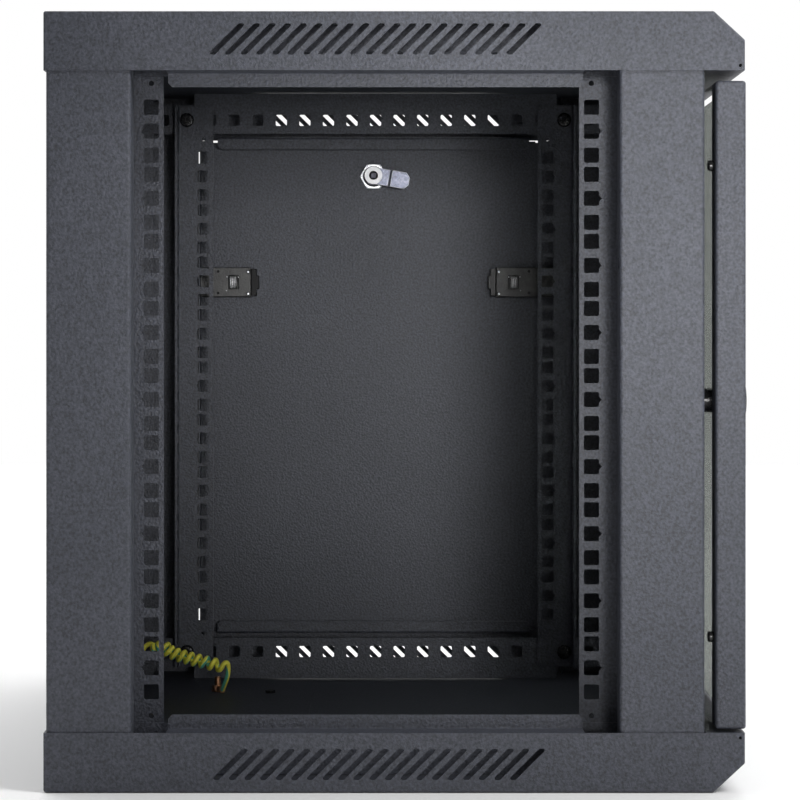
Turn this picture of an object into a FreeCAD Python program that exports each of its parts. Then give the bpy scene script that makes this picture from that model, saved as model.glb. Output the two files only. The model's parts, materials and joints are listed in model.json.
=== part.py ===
"""Wall mount network cabinet, 9U high, with a glass door and its left side panel taken off.

Frame: millimetres. The origin is the centre of the face that lies on the wall.
+Z is up, +X is to the right as seen from the front, and the front looks along -Y.
"""
import FreeCAD, Part
import math
import os

Vector = FreeCAD.Vector

# ---------------------------------------------------------------- driving dimensions
cabinet_width = 600.0
cabinet_depth = 450.0
cabinet_height = 501.0

cover_sheet = 1.5
column_sheet = 1.5
bar_sheet = 1.5
rail_sheet = 2.0
panel_sheet = 1.2
inner_bend = 0.8

skirt_height = 38.0
chamfer_run = 20.0
chamfer_drop = 18.5
cover_edge_round = 1.5
front_flange_depth = 23.0
shelf_depth = 20.0
lip_height = 9.0
lip_setback = 22.4
lip_corner = 2.5
relief_hole_radius = 1.0
relief_hole_inset = 3.0

vent_count = 20
vent_pitch = 10.02
vent_width = 5.0
vent_height = 20.0
vent_lean = 20.2
vent_corner = 1.1
vent_rise = 1.0
lower_vent_shift = 2.3

fan_spacing = 105.0
fan_screw_radius = 2.15
fan_opening_radius = 56.0
fan_offset_x = 110.0
fan_depth_share = 0.6
fan_slot_width = 4.0
fan_slot_pitch = 8.0

entry_width = 280.0
entry_depth = 50.0
entry_y = -125.0
entry_corner = 6.0
entry_plate_margin = 20.0
entry_plate_sheet = 1.2
entry_plate_corner = 3.0
entry_screw_inset = 10.0

column_depth = 54.6
column_flange = 20.0

rack_unit = 44.45
unit_hole_offsets = (6.35, 22.225, 38.1)
rack_hole_spacing = 465.1
rack_opening = 450.0
square_hole = 9.5
side_square_hole = 10.0
square_hole_corner = 1.3
rail_plane = 243.3
rail_depth = 31.2
rail_reach = 24.5
rail_hole_line = 23.0
rail_pilot_radius = 1.75
rail_pilot_inset = 27.5
unit_mark_height = 4.4
unit_mark_depth = 2.0
rail_bolt_inset = 8.85

bar_gap = 1.5
bar_height = 24.4
bar_crest_gap = 1.0
bar_crest_margin = 6.0
bar_hole_rise = 11.5
bar_hole_pitch = 20.0
bar_hole_start = 30.0
bar_front_gap = 2.0
rear_bolt_hole = 1
front_rail_setback = 45.0

bolt_radius = 3.0
bolt_clearance = 0.2
bolt_head_radius = 6.0
bolt_head_height = 3.2
bolt_recess_reach = 2.9
bolt_recess_width = 1.0
bolt_recess_depth = 1.6
bolt_overrun = 2.0
plate_screw_radius = 2.0
plate_screw_head_radius = 4.0
plate_screw_head_height = 2.2
nut_across = 10.0
nut_height = 5.0

wall_hole_spacing_x = 400.0
wall_hole_spacing_z = 340.0
wall_hole_radius = 4.5
keyhole_x = 150.0
keyhole_inset = 27.5
keyhole_radius = 7.0
keyhole_neck = 4.2
keyhole_rise = 14.0
rear_panel_inset = 16.0
rear_panel_gap = 0.5

panel_top_gap = 2.0
panel_side_gap = 0.8
panel_fold = 16.0
panel_fold_setback = 21.0
panel_hardware_shift = 4.9

lock_body_radius = 8.0
lock_head_radius = 12.0
lock_head_height = 3.0
lock_nut_across = 19.0
lock_nut_height = 4.0
lock_plug_radius = 5.5
running_clearance = 0.05
lock_square = 7.0
cam_width = 14.4
cam_sheet = 2.0
cam_screw_radius = 3.6
cam_screw_height = 1.8
key_slot_length = 7.0
key_slot_width = 1.6
key_slot_depth = 4.0

side_lock_inset = 31.5
side_cam_gap = 0.8
side_cam_length = 31.4
side_cam_step = 3.0
side_cam_angle = -8.0

door_side_gap = 3.0
door_thickness = 19.5
door_proud = 1.0
door_gap = 7.2
door_top_gap = 6.4
door_bottom_gap = 2.1
door_edge_round = 2.0
door_return = 20.0
door_border = 62.0
seal_thickness = 1.0
seal_width = 8.0
seal_inset = 1.5
glass_thickness = 4.0
glass_overlap = 14.0
glass_corner = 2.0
glass_end_gap = 1.6
clip_sheet = 1.5
clip_width = 20.0
clip_bite = 8.0
clip_foot = 13.0
clip_gap = 0.5
clip_stud_radius = 2.0
clip_stud_length = 6.0
clip_nut_across = 7.0
clip_nut_height = 3.2
clip_rows = (-150.0, -50.0, 50.0, 150.0)
buffer_radius = 3.6
buffer_height = 4.1
buffer_inset = 10.0
buffer_end_inset = 60.5

door_lock_share = 0.395
door_cam_length = 23.0
door_cam_width = 12.0
door_cam_gap = 1.3
catch_margin = 3.0

hinge_inset = 9.0
hinge_pin_radius = 2.5
hinge_pin_reach = 4.0
hinge_collar_radius = 4.4
hinge_collar_height = 1.5
hinge_gap = 0.3
hinge_bracket_drop = 21.0
hinge_bracket_sheet = 2.0
hinge_tail = 12.0
hinge_handle_radius = 1.8
hinge_handle_length = 19.0
hinge_spring_wire = 0.8
hinge_spring_turns = 6
hinge_washer_radius = 7.0

latch_inset = 123.5
latch_height = 25.4
latch_depth = 13.0
latch_front_length = 53.7
latch_rear_length = 43.9
latch_bolt_size = 5.6
latch_slide_gap = 0.3
latch_engagement = 5.0
latch_handle_thickness = 4.6
latch_handle_height = 23.4
latch_tab_height = 11.5
latch_tab_thickness = 1.9
latch_round = 0.8
latch_web = 8.0
latch_spring_length = 14.0
latch_collar = 3.0
latch_window_length = 6.5
latch_window_height = 11.4
latch_window_from_end = 15.9
latch_spring_wire = 1.1
latch_spring_turns = 6

earth_stud_radius = 2.5
earth_stud_length = 12.0
earth_nut_across = 8.0
earth_nut_height = 4.0
earth_ring_radius = 5.0
earth_ring_sheet = 1.0
earth_barrel_radius = 2.6
earth_tongue_width = 4.0
earth_barrel_length = 8.0
floor_stud_xy = (170.0, -81.0)
floor_barrel_angle = 200.0
rear_stud_x = 160.0
rear_stud_rise = 11.0
wire_diameter = 3.9
coil_diameter = 11.8
coil_rear = (150.0, -43.4, 33.3)
coil_front = (150.0, -85.7, 22.3)
front_turns = ((150.0, -90.6, 24.4), (150.4, -92.4, 17.0), (151.5, -89.8, 8.4))
rear_turns = ((150.5, -38.4, 39.4), (152.5, -32.0, 35.8), (156.0, -20.5, 33.6), (159.2, -9.0, 32.4))

# ---------------------------------------------------------------- derived places
half_width = cabinet_width / 2
half_height = cabinet_height / 2
skirt_edge = half_height - skirt_height
cover_inside_z = half_height - cover_sheet
cover_inside_x = half_width - cover_sheet

door_front_y = -(cabinet_depth + door_proud)
door_rear_y = door_front_y + door_thickness
column_front_y = door_rear_y + door_gap
column_rear_y = -cover_sheet
opening_front_y = column_front_y + column_depth
opening_rear_y = column_rear_y - column_depth
opening_centre_y = (opening_front_y + opening_rear_y) / 2
fan_y = -fan_depth_share * cabinet_depth
column_return = cover_inside_x - (half_width - shelf_depth)

bar_plane = rail_plane + bar_sheet
column_width = cover_inside_x - bar_plane
rack_units = int(2 * skirt_edge / rack_unit)
rail_end = skirt_edge + rail_reach
rail_pilot_z = rail_end - rail_pilot_inset
bar_low = skirt_edge + bar_gap
bar_high = bar_low + bar_height
bar_crest = cover_inside_z - bar_crest_gap
bar_hole_z = bar_low + bar_hole_rise
rear_bolt_y = -bar_hole_start - rear_bolt_hole * bar_hole_pitch
front_bolt_reach = -column_front_y - front_rail_setback - rail_bolt_inset
front_bolt_hole = int((front_bolt_reach - bar_hole_start) / bar_hole_pitch)
front_bolt_y = -bar_hole_start - front_bolt_hole * bar_hole_pitch
rear_rail_y = rear_bolt_y + rail_bolt_inset
front_rail_y = front_bolt_y - rail_bolt_inset

door_half_width = half_width - door_side_gap
door_top_z = skirt_edge - door_top_gap
door_bottom_z = -skirt_edge + door_bottom_gap
glass_half_width = door_half_width - door_border + glass_overlap
glass_low_z = door_bottom_z + glass_end_gap
glass_high_z = door_top_z - glass_end_gap
hinge_x = door_half_width - hinge_inset
hinge_y = (door_front_y + door_rear_y) / 2
door_lock_x = -(bar_plane + door_lock_share * column_width)
door_lock_z = 0.0
buffer_z = skirt_edge - buffer_end_inset

keyhole_z = skirt_edge - keyhole_inset

side_lock_z = skirt_edge - side_lock_inset
latch_z = skirt_edge - latch_inset
panel_hardware_y = opening_centre_y + panel_hardware_shift
panel_top_z = skirt_edge - panel_top_gap
panel_bottom_z = -skirt_edge
panel_outer_x = cover_inside_x
panel_inner_x = panel_outer_x - panel_sheet
panel_rear_y = opening_rear_y - panel_side_gap
panel_front_y = opening_front_y + panel_side_gap
latch_bolt_x = panel_inner_x - latch_depth / 2
lip_inner_x = half_width - shelf_depth - cover_sheet

hinge_plate_top = door_top_z - hinge_bracket_drop
hinge_collar_top = door_top_z - panel_sheet - hinge_gap
hinge_collar_low = hinge_collar_top - hinge_collar_height

floor_z = -cover_inside_z

SIDES = {"left": -1, "right": 1}


# ---------------------------------------------------------------- shape helpers
def box(low, high):
    """Axis-aligned block between two opposite corners, given in any order."""
    start = [min(a, b) for a, b in zip(low, high)]
    size = [abs(b - a) for a, b in zip(low, high)]
    return Part.makeBox(size[0], size[1], size[2], Vector(*start))


def rod(start, end, radius):
    """Round bar from one point to another."""
    start = Vector(*start)
    run = Vector(*end) - start
    return Part.makeCylinder(radius, run.Length, start, run)


def tube(start, end, radius, bore):
    """Round bar with a round hole along its whole length."""
    return rod(start, end, radius).cut(rod(start, end, bore))


def hexagon(start, end, across, bore):
    """Hexagonal nut from one point to another, with a round bore."""
    start = Vector(*start)
    run = Vector(*end) - start
    side_a = run.cross(Vector(0, 0, 1))
    if side_a.Length < 1e-6:
        side_a = run.cross(Vector(1, 0, 0))
    side_a.normalize()
    side_b = Vector(run).normalize().cross(side_a)
    reach = across / math.sqrt(3)
    corners = []
    for corner in range(7):
        turn = math.radians(60 * corner)
        corners.append(start + side_a * (reach * math.cos(turn)) + side_b * (reach * math.sin(turn)))
    body = Part.Face(Part.makePolygon(corners)).extrude(run)
    return body.cut(Part.makeCylinder(bore, run.Length, start, run))


def joined(shapes):
    """One solid from shapes that meet or overlap."""
    whole = shapes[0].fuse(shapes[1:]) if len(shapes) > 1 else shapes[0]
    return whole.removeSplitter()


def group(shapes):
    """Separate solids kept together in one node."""
    return Part.makeCompound(shapes)


def plane_point(plane, first, second, height):
    """Point from two section coordinates and the distance along the extrusion."""
    if plane == "XY":
        return Vector(first, second, height)
    if plane == "XZ":
        return Vector(first, height, second)
    return Vector(height, first, second)


def prism(plane, outline, start, end):
    """Straight-sided solid from a closed outline of section points."""
    points = [plane_point(plane, a, b, start) for a, b in outline]
    run = plane_point(plane, 0, 0, end) - plane_point(plane, 0, 0, start)
    return Part.Face(Part.makePolygon(points + points[:1])).extrude(run)


def rounded_edges(points, radii, closed=False):
    """Line and arc edges through points, with each corner rounded to its radius."""
    count = len(points)
    starts = []
    ends = []
    arcs = []
    for index, point in enumerate(points):
        radius = radii[index]
        is_end = not closed and index in (0, count - 1)
        if is_end or radius <= 0:
            starts.append(point)
            ends.append(point)
            arcs.append(None)
            continue
        back = (points[index - 1] - point).normalize()
        ahead = (points[(index + 1) % count] - point).normalize()
        half_angle = back.getAngle(ahead) / 2
        reach = radius / math.tan(half_angle)
        bisector = (back + ahead).normalize()
        middle = point + bisector * (radius / math.sin(half_angle) - radius)
        starts.append(point + back * reach)
        ends.append(point + ahead * reach)
        arcs.append(middle)
    edges = []
    for index in range(count):
        if arcs[index] is not None:
            edges.append(Part.Arc(starts[index], arcs[index], ends[index]).toShape())
        if closed or index < count - 1:
            following = starts[(index + 1) % count]
            if (following - ends[index]).Length > 1e-6:
                edges.append(Part.LineSegment(ends[index], following).toShape())
    return edges


def rounded_prism(plane, outline, radius, start, end):
    """Prism whose section corners are all rounded to one radius."""
    points = [plane_point(plane, a, b, start) for a, b in outline]
    edges = rounded_edges(points, [radius] * len(points), closed=True)
    run = plane_point(plane, 0, 0, end) - plane_point(plane, 0, 0, start)
    return Part.Face(Part.Wire(edges)).extrude(run)


def folded_sheet(plane, path, sheet, start, end):
    """Folded sheet metal: path is its outside line, and the sheet lies to the left of it."""
    flat = [Vector(a, b, 0) for a, b in path]
    heads = [(flat[i + 1] - flat[i]).normalize() for i in range(len(flat) - 1)]
    normals = [Vector(-head.y, head.x, 0) for head in heads]
    offset = [flat[0] + normals[0] * sheet]
    path_radii = [0]
    offset_radii = [0]
    for index in range(1, len(flat) - 1):
        before = normals[index - 1]
        after = normals[index]
        offset.append(flat[index] + (before + after) * (sheet / (1 + before.dot(after))))
        turns_left = heads[index - 1].cross(heads[index]).z > 0
        path_radii.append(inner_bend + sheet if turns_left else inner_bend)
        offset_radii.append(inner_bend if turns_left else inner_bend + sheet)
    offset.append(flat[-1] + normals[-1] * sheet)
    path_radii.append(0)
    offset_radii.append(0)

    def placed(points):
        return [plane_point(plane, p.x, p.y, start) for p in points]

    outside = placed(flat)
    inside = placed(offset)
    edges = rounded_edges(outside, path_radii)
    edges.append(Part.LineSegment(outside[-1], inside[-1]).toShape())
    edges += rounded_edges(inside[::-1], offset_radii[::-1])
    edges.append(Part.LineSegment(inside[0], outside[0]).toShape())
    run = plane_point(plane, 0, 0, end) - plane_point(plane, 0, 0, start)
    return Part.Face(Part.Wire(edges)).extrude(run)


def mirrored_x(shape):
    return shape.mirror(Vector(0, 0, 0), Vector(1, 0, 0))


def mirrored_z(shape):
    return shape.mirror(Vector(0, 0, 0), Vector(0, 0, 1))


def square_cutter(plane, first, second, start, end, size=square_hole):
    """Cutter for one square cage-nut hole with rounded corners."""
    reach = size / 2
    outline = [(first - reach, second - reach), (first + reach, second - reach),
               (first + reach, second + reach), (first - reach, second + reach)]
    return rounded_prism(plane, outline, square_hole_corner, start, end)


def coil_spring(start, axis, length, radius, wire, turns):
    """Round-wire compression spring of half turns, each a plane arc that climbs half the pitch."""
    reach = radius - wire / 2
    climb = (length - wire) / (2 * turns)
    arcs = []
    for index in range(2 * turns):
        hand = 1 if index % 2 == 0 else -1
        near = Vector(hand * reach, 0, wire / 2 + index * climb)
        far = Vector(-hand * reach, 0, wire / 2 + (index + 1) * climb)
        centre = (near + far) * 0.5
        crest = centre + Vector(0, hand * (near - centre).Length, 0)
        arcs.append(Part.Arc(near, crest, far).toShape())
    section = Part.Wire(Part.makeCircle(wire / 2, Vector(reach, 0, wire / 2), Vector(0, 1, 0)))
    spring = Part.Wire(arcs).makePipeShell([section], True, False)
    spring.Placement = FreeCAD.Placement(Vector(*start), FreeCAD.Rotation(Vector(0, 0, 1), Vector(*axis)))
    return spring


# ---------------------------------------------------------------- covers
def vent_cutters(side, level):
    """Slanted slots in one side skirt: each rises towards the same hand as seen from outside."""
    cutters = []
    lean = vent_lean * side
    centre_y = opening_centre_y - (lower_vent_shift if level < 0 else 0)
    centre_z = level * (half_height - skirt_height / 2 + vent_rise)
    x_start = side * (half_width - 2 * cover_sheet)
    x_end = side * (half_width + cover_sheet)
    for index in range(vent_count):
        middle = centre_y + (index - (vent_count - 1) / 2) * vent_pitch
        low = middle - lean / 2
        high = middle + lean / 2
        outline = [(low - vent_width / 2, centre_z - vent_height / 2),
                   (low + vent_width / 2, centre_z - vent_height / 2),
                   (high + vent_width / 2, centre_z + vent_height / 2),
                   (high - vent_width / 2, centre_z + vent_height / 2)]
        cutters.append(rounded_prism("YZ", outline, vent_corner, x_start, x_end))
    return cutters


def cover_tray():
    """Top tray: flat plate with a skirt all round and a slope along its front edge."""
    outline = [(0, half_height), (-cabinet_depth + chamfer_run, half_height),
               (-cabinet_depth, half_height - chamfer_drop), (-cabinet_depth, skirt_edge), (0, skirt_edge)]
    outer = prism("YZ", outline, -half_width, half_width)
    folds = [edge for edge in outer.Edges
             if max(vertex.Z for vertex in edge.Vertexes) > skirt_edge + 1e-3]
    outer = outer.makeFillet(cover_edge_round, folds)
    slope = math.atan2(chamfer_drop, chamfer_run)
    top_shift = cover_sheet * math.tan(slope / 2)
    front_shift = cover_sheet * math.tan((math.pi / 2 - slope) / 2)
    hollow = [(-cover_sheet, cover_inside_z),
              (-cabinet_depth + chamfer_run + top_shift, cover_inside_z),
              (-cabinet_depth + cover_sheet, half_height - chamfer_drop - front_shift),
              (-cabinet_depth + cover_sheet, skirt_edge - 1), (-cover_sheet, skirt_edge - 1)]
    return outer.cut(prism("YZ", hollow, -cover_inside_x, cover_inside_x))


def side_shelf(side):
    """Inward shelf and down-turned lip that carry the edge of a side panel."""
    inner = half_width - shelf_depth
    low = skirt_edge - lip_height
    centre = panel_hardware_y if side > 0 else opening_centre_y
    reach = (opening_rear_y - opening_front_y) / 2 - lip_setback
    path = [(inner, low), (inner, skirt_edge), (cover_inside_x, skirt_edge)]
    profile = folded_sheet("XZ", path, cover_sheet, centre + reach, centre - reach)
    corners = []
    for end in (-1, 1):
        end_y = centre + end * reach
        outline = [(end_y, low), (end_y - end * lip_corner, low), (end_y, low + lip_corner)]
        corners.append(prism("YZ", outline, inner - 2 * cover_sheet, inner + cover_sheet))
    profile = profile.cut(group(corners))
    return profile if side > 0 else mirrored_x(profile)


def plain_cover():
    """Tray with its front flange and side shelves, before any hole is cut."""
    flange_y = -cabinet_depth + cover_sheet
    flange = box((-cover_inside_x, flange_y, skirt_edge),
                 (cover_inside_x, flange_y + front_flange_depth, skirt_edge + cover_sheet))
    return joined([cover_tray(), flange, side_shelf(-1), side_shelf(1)])


def cover_hole_cutters(level):
    """Holes that both covers have: vents, corner reliefs, hinge pin hole, cable entry and its screws."""
    cutters = []
    for side in SIDES.values():
        cutters += vent_cutters(side, level)
        relief_y = -cabinet_depth + relief_hole_inset
        relief_z = level * (skirt_edge + relief_hole_inset)
        cutters.append(rod((side * (half_width + 1), relief_y, relief_z),
                           (side * (half_width - 2 * cover_sheet), relief_y, relief_z), relief_hole_radius))
    cutters.append(rod((hinge_x, hinge_y, level * (skirt_edge - 1)),
                       (hinge_x, hinge_y, level * (skirt_edge + 2 * cover_sheet)),
                       hinge_pin_radius + running_clearance))
    outside = level * (half_height + 1)
    inside = level * (cover_inside_z - 1)
    reach_x = entry_width / 2
    reach_y = entry_depth / 2
    outline = [(-reach_x, entry_y - reach_y), (reach_x, entry_y - reach_y),
               (reach_x, entry_y + reach_y), (-reach_x, entry_y + reach_y)]
    cutters.append(rounded_prism("XY", outline, entry_corner, inside, outside))
    for x in entry_screw_places():
        cutters.append(rod((x, entry_y, inside), (x, entry_y, outside), plate_screw_radius))
    return cutters


def fan_cutters():
    """Two round grilles of straight slots, each with four screw holes, in the top plate."""
    low = cover_inside_z - 1
    high = half_height + 1
    cutters = []
    for fan_x in (-fan_offset_x, fan_offset_x):
        for across in (-fan_spacing / 2, fan_spacing / 2):
            for along in (-fan_spacing / 2, fan_spacing / 2):
                x = fan_x + across
                y = fan_y + along
                cutters.append(rod((x, y, low), (x, y, high), fan_screw_radius))
        rows = int(fan_opening_radius // fan_slot_pitch)
        for row in range(-rows, rows + 1):
            offset = row * fan_slot_pitch
            reach = math.sqrt(max(fan_opening_radius ** 2 - offset ** 2, 0))
            if reach < fan_slot_width:
                continue
            half_slot = fan_slot_width / 2
            x0 = fan_x + offset - half_slot
            x1 = fan_x + offset + half_slot
            outline = [(x0, fan_y - reach), (x1, fan_y - reach), (x1, fan_y + reach), (x0, fan_y + reach)]
            cutters.append(rounded_prism("XY", outline, half_slot * 0.9, low, high))
    return cutters


def entry_screw_places():
    reach = entry_width / 2 + entry_screw_inset
    return (-reach, reach)


def top_cover():
    return plain_cover().cut(group(cover_hole_cutters(1) + fan_cutters()))


def bottom_cover():
    return mirrored_z(plain_cover()).cut(group(cover_hole_cutters(-1)))


def entry_plate(level):
    """Plate that closes a cable entry from inside; its screw holes clear the screws."""
    inner = level * cover_inside_z
    far = inner - level * entry_plate_sheet
    reach_x = entry_width / 2 + entry_plate_margin
    reach_y = entry_depth / 2 + entry_plate_margin / 2
    outline = [(-reach_x, entry_y - reach_y), (reach_x, entry_y - reach_y),
               (reach_x, entry_y + reach_y), (-reach_x, entry_y + reach_y)]
    plate = rounded_prism("XY", outline, entry_plate_corner, inner, far)
    holes = [rod((x, entry_y, inner), (x, entry_y, far), plate_screw_radius) for x in entry_screw_places()]
    return plate.cut(group(holes))


def entry_screws():
    """Pan-head screws that hold the two entry plates."""
    screws = []
    for level in (-1, 1):
        seat = level * (cover_inside_z - entry_plate_sheet)
        tip = level * half_height
        for x in entry_screw_places():
            crown = seat - level * plate_screw_head_height
            head = rod((x, entry_y, seat), (x, entry_y, crown), plate_screw_head_radius)
            shank = rod((x, entry_y, seat), (x, entry_y, tip), plate_screw_radius)
            screws.append(joined([head, shank]))
    return group(screws)


# ---------------------------------------------------------------- frame
def rear_panel():
    """Flat plate that lies on the wall, with four wall holes and two hanging keyholes."""
    reach_x = half_width - rear_panel_inset
    reach_z = skirt_edge - rear_panel_gap
    plate = box((-reach_x, -cover_sheet, -reach_z), (reach_x, 0, reach_z))
    cutters = []
    for x in (-wall_hole_spacing_x / 2, wall_hole_spacing_x / 2):
        for z in (-wall_hole_spacing_z / 2, wall_hole_spacing_z / 2):
            cutters.append(rod((x, 1, z), (x, -cover_sheet - 1, z), wall_hole_radius))
    for x in (-keyhole_x, keyhole_x):
        low = keyhole_z - keyhole_rise / 2
        high = keyhole_z + keyhole_rise / 2
        neck = box((x - keyhole_neck, 1, low), (x + keyhole_neck, -cover_sheet - 1, high))
        cutters.append(joined([rod((x, 1, low), (x, -cover_sheet - 1, low), keyhole_radius), neck,
                               rod((x, 1, high), (x, -cover_sheet - 1, high), keyhole_neck)]))
    return plate.cut(group(cutters))


def column(side, front):
    """Open box section: outer face, end face, return beside the side opening and inner flange."""
    end_y = column_front_y if front else column_rear_y
    inward = 1 if front else -1
    path = [(column_width, column_flange), (column_width, 0), (0, 0), (0, column_depth),
            (column_return, column_depth)]
    section = []
    for across, along in path:
        section.append((side * (cover_inside_x - across), end_y + inward * along))
    if side * inward < 0:
        section.reverse()
    profile = folded_sheet("XY", section, column_sheet, -cover_inside_z, cover_inside_z)
    cutters = [latch_hole(side, opening_front_y if front else opening_rear_y)]
    if front and side < 0:
        cutters.append(catch_slot())
    return profile.cut(group(cutters))


def latch_hole(side, opening_y):
    """Square hole for a side panel's latch bolt in the return of a column."""
    reach = latch_bolt_size / 2 + 2 * latch_slide_gap
    x = side * latch_bolt_x
    span = 2 * column_sheet
    return box((x - reach, opening_y - span, latch_z - reach), (x + reach, opening_y + span, latch_z + reach))


def catch_slot():
    """Upright slot in the left front column that the door's cam goes through."""
    reach = door_cam_width / 2 + catch_margin
    low = door_lock_z - reach
    high = door_lock_z + door_cam_length + catch_margin
    outline = [(door_lock_x - reach, low), (door_lock_x + reach, low), (door_lock_x + reach, high),
               (door_lock_x - reach, high)]
    return rounded_prism("XZ", outline, catch_margin, column_front_y - 1, column_front_y + 2 * column_sheet)


def rack_hole_heights():
    """Heights of the cage-nut holes, three to a rack unit."""
    bottom = -rack_units * rack_unit / 2
    return [bottom + unit * rack_unit + offset for unit in range(rack_units) for offset in unit_hole_offsets]


def rail(side, front):
    """Angle rail: an equipment flange across the cabinet and a deep flange along it, both punched."""
    face_y = front_rail_y if front else rear_rail_y
    inward = 1 if front else -1
    corner_x = side * rail_plane
    path = [(corner_x, face_y + inward * rail_depth), (corner_x, face_y), (side * rack_opening / 2, face_y)]
    if side * inward > 0:
        path.reverse()
    profile = folded_sheet("XY", path, rail_sheet, -rail_end, rail_end)
    hole_y = face_y + inward * rail_hole_line
    outer_edge = hole_y - inward * (side_square_hole / 2 - 0.1)
    side_start = side * (rail_plane - 2 * rail_sheet)
    side_end = side * (rail_plane + 1)
    cutters = []
    for index, z in enumerate(rack_hole_heights()):
        cutters.append(square_cutter("XZ", side * rack_hole_spacing / 2, z, face_y - inward,
                                     face_y + inward * 2 * rail_sheet))
        side_hole = square_cutter("YZ", hole_y, z, side_start, side_end, side_square_hole)
        if index % 3 == 1:
            half_mark = unit_mark_height / 2
            mark = prism("YZ", [(outer_edge, z - half_mark), (outer_edge, z + half_mark),
                                (outer_edge - inward * unit_mark_depth, z)], side_start, side_end)
            side_hole = side_hole.fuse(mark)
        cutters.append(side_hole)
    for level in (-1, 1):
        pilot = (side_start, hole_y, level * rail_pilot_z)
        cutters.append(rod(pilot, (side_end, hole_y, level * rail_pilot_z), rail_pilot_radius))
        bolt_y = front_bolt_y if front else rear_bolt_y
        cutters.append(rod((side_start, bolt_y, level * bar_hole_z), (side_end, bolt_y, level * bar_hole_z),
                           bolt_radius + bolt_clearance))
    return profile.cut(group(cutters))


def depth_bar(side, level):
    """Upright strip from the rear column to the front column, punched for the rails' bolts."""
    rear = -cover_sheet
    front = column_front_y + bar_front_gap
    crest_front = opening_front_y + bar_crest_margin
    outline = [(rear, bar_low), (front, bar_low), (front, bar_high), (crest_front, bar_high),
               (crest_front, bar_crest), (opening_rear_y, bar_crest), (opening_rear_y, bar_high),
               (rear, bar_high)]
    plate = prism("YZ", outline, side * rail_plane, side * bar_plane)
    count = front_bolt_hole + 2
    cutters = []
    for index in range(count):
        cutters.append(square_cutter("YZ", -bar_hole_start - index * bar_hole_pitch, bar_hole_z,
                                     side * (rail_plane - 1), side * (bar_plane + 1)))
    bar = plate.cut(group(cutters))
    return bar if level > 0 else mirrored_z(bar)


def rail_fixings():
    """Pan-head bolts through rail and bar, and their nuts on the far side of the bar."""
    bolts = []
    nuts = []
    head_seat = rail_plane - rail_sheet
    for side in SIDES.values():
        for y in (rear_bolt_y, front_bolt_y):
            for level in (-1, 1):
                z = level * bar_hole_z
                head_top = side * (head_seat - bolt_head_height)
                head = rod((side * head_seat, y, z), (head_top, y, z), bolt_head_radius)
                crown = [edge for edge in head.Edges
                         if max(abs(vertex.X - head_top) for vertex in edge.Vertexes) < 1e-3]
                head = head.makeFillet(bolt_head_height * 0.5, crown)
                tip = bar_plane + nut_height + bolt_overrun
                shank = rod((side * head_seat, y, z), (side * tip, y, z), bolt_radius)
                recess_end = side * (head_seat - bolt_head_height + bolt_recess_depth)
                half = bolt_recess_width / 2
                reach = bolt_recess_reach
                recess = group([box((head_top, y - reach, z - half), (recess_end, y + reach, z + half)),
                                box((head_top, y - half, z - reach), (recess_end, y + half, z + reach))])
                bolts.append(joined([head, shank]).cut(recess))
                nuts.append(hexagon((side * bar_plane, y, z), (side * (bar_plane + nut_height), y, z),
                                    nut_across, bolt_radius))
    return group(bolts), group(nuts)


# ---------------------------------------------------------------- locks
def lock_barrel(seat, front, rear):
    """Fixed lock housing: round head outside, threaded body inside, bored for the plug."""
    head = rod(seat, front, lock_head_radius)
    body = rod(seat, rear, lock_body_radius)
    bore = rod(front, rear, lock_plug_radius + running_clearance)
    return joined([head, body]).cut(bore)


def side_lock_parts():
    """Cam lock of the right side panel: its axis lies along X and its cam is inside."""
    y = panel_hardware_y
    z = side_lock_z
    seat = panel_outer_x
    front = seat + lock_head_height
    rear = lip_inner_x - side_cam_gap + side_cam_step + hinge_gap
    barrel = lock_barrel((seat, y, z), (front, y, z), (rear, y, z))
    nut = hexagon((panel_inner_x, y, z), (panel_inner_x - lock_nut_height, y, z), lock_nut_across,
                  lock_body_radius)
    cam_seat = rear - hinge_gap
    plug = rod((front, y, z), (cam_seat, y, z), lock_plug_radius)
    square = box((cam_seat, y - lock_square / 2, z - lock_square / 2),
                 (cam_seat - cam_sheet, y + lock_square / 2, z + lock_square / 2))
    slot = box((front + 1, y - key_slot_width / 2, z - key_slot_length / 2),
               (front - key_slot_depth, y + key_slot_width / 2, z + key_slot_length / 2))
    plug = joined([plug, square]).cut(slot)
    plug.rotate(Vector(front, y, z), Vector(-1, 0, 0), side_cam_angle)
    cam = side_cam(cam_seat)
    cam_face = cam_seat - cam_sheet
    screw = rod((cam_face, y, z), (cam_face - cam_screw_height, y, z), cam_screw_radius)
    return {"side_lock_barrel": barrel, "side_lock_nut": nut, "side_lock_plug": plug,
            "side_lock_cam": cam, "side_lock_cam_screw": screw}


def side_cam(seat):
    """Stepped cam arm that lies almost level towards the door, with a rounded hub and tip."""
    y = panel_hardware_y
    z = side_lock_z
    half = cam_width / 2
    step_at = side_cam_length * 0.5
    hub = rod((seat, y, z), (seat - cam_sheet, y, z), half)
    arm = box((seat, y, z - half), (seat - cam_sheet, y - step_at, z + half))
    far_seat = seat - side_cam_step
    riser = box((seat, y - step_at + cam_sheet, z - half), (far_seat - cam_sheet, y - step_at, z + half))
    tip = box((far_seat, y - step_at, z - half), (far_seat - cam_sheet, y - side_cam_length, z + half))
    tip_edges = [edge for edge in tip.Edges
                 if edge.BoundBox.XLength > cam_sheet / 2 and edge.BoundBox.YMax < y - side_cam_length + 1e-3]
    tip = tip.makeFillet(half * 0.8, tip_edges)
    hole = box((seat, y - lock_square / 2, z - lock_square / 2),
               (seat - cam_sheet, y + lock_square / 2, z + lock_square / 2))
    cam = joined([hub, arm, riser, tip]).cut(hole)
    cam.rotate(Vector(seat, y, z), Vector(-1, 0, 0), side_cam_angle)
    return cam


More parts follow.
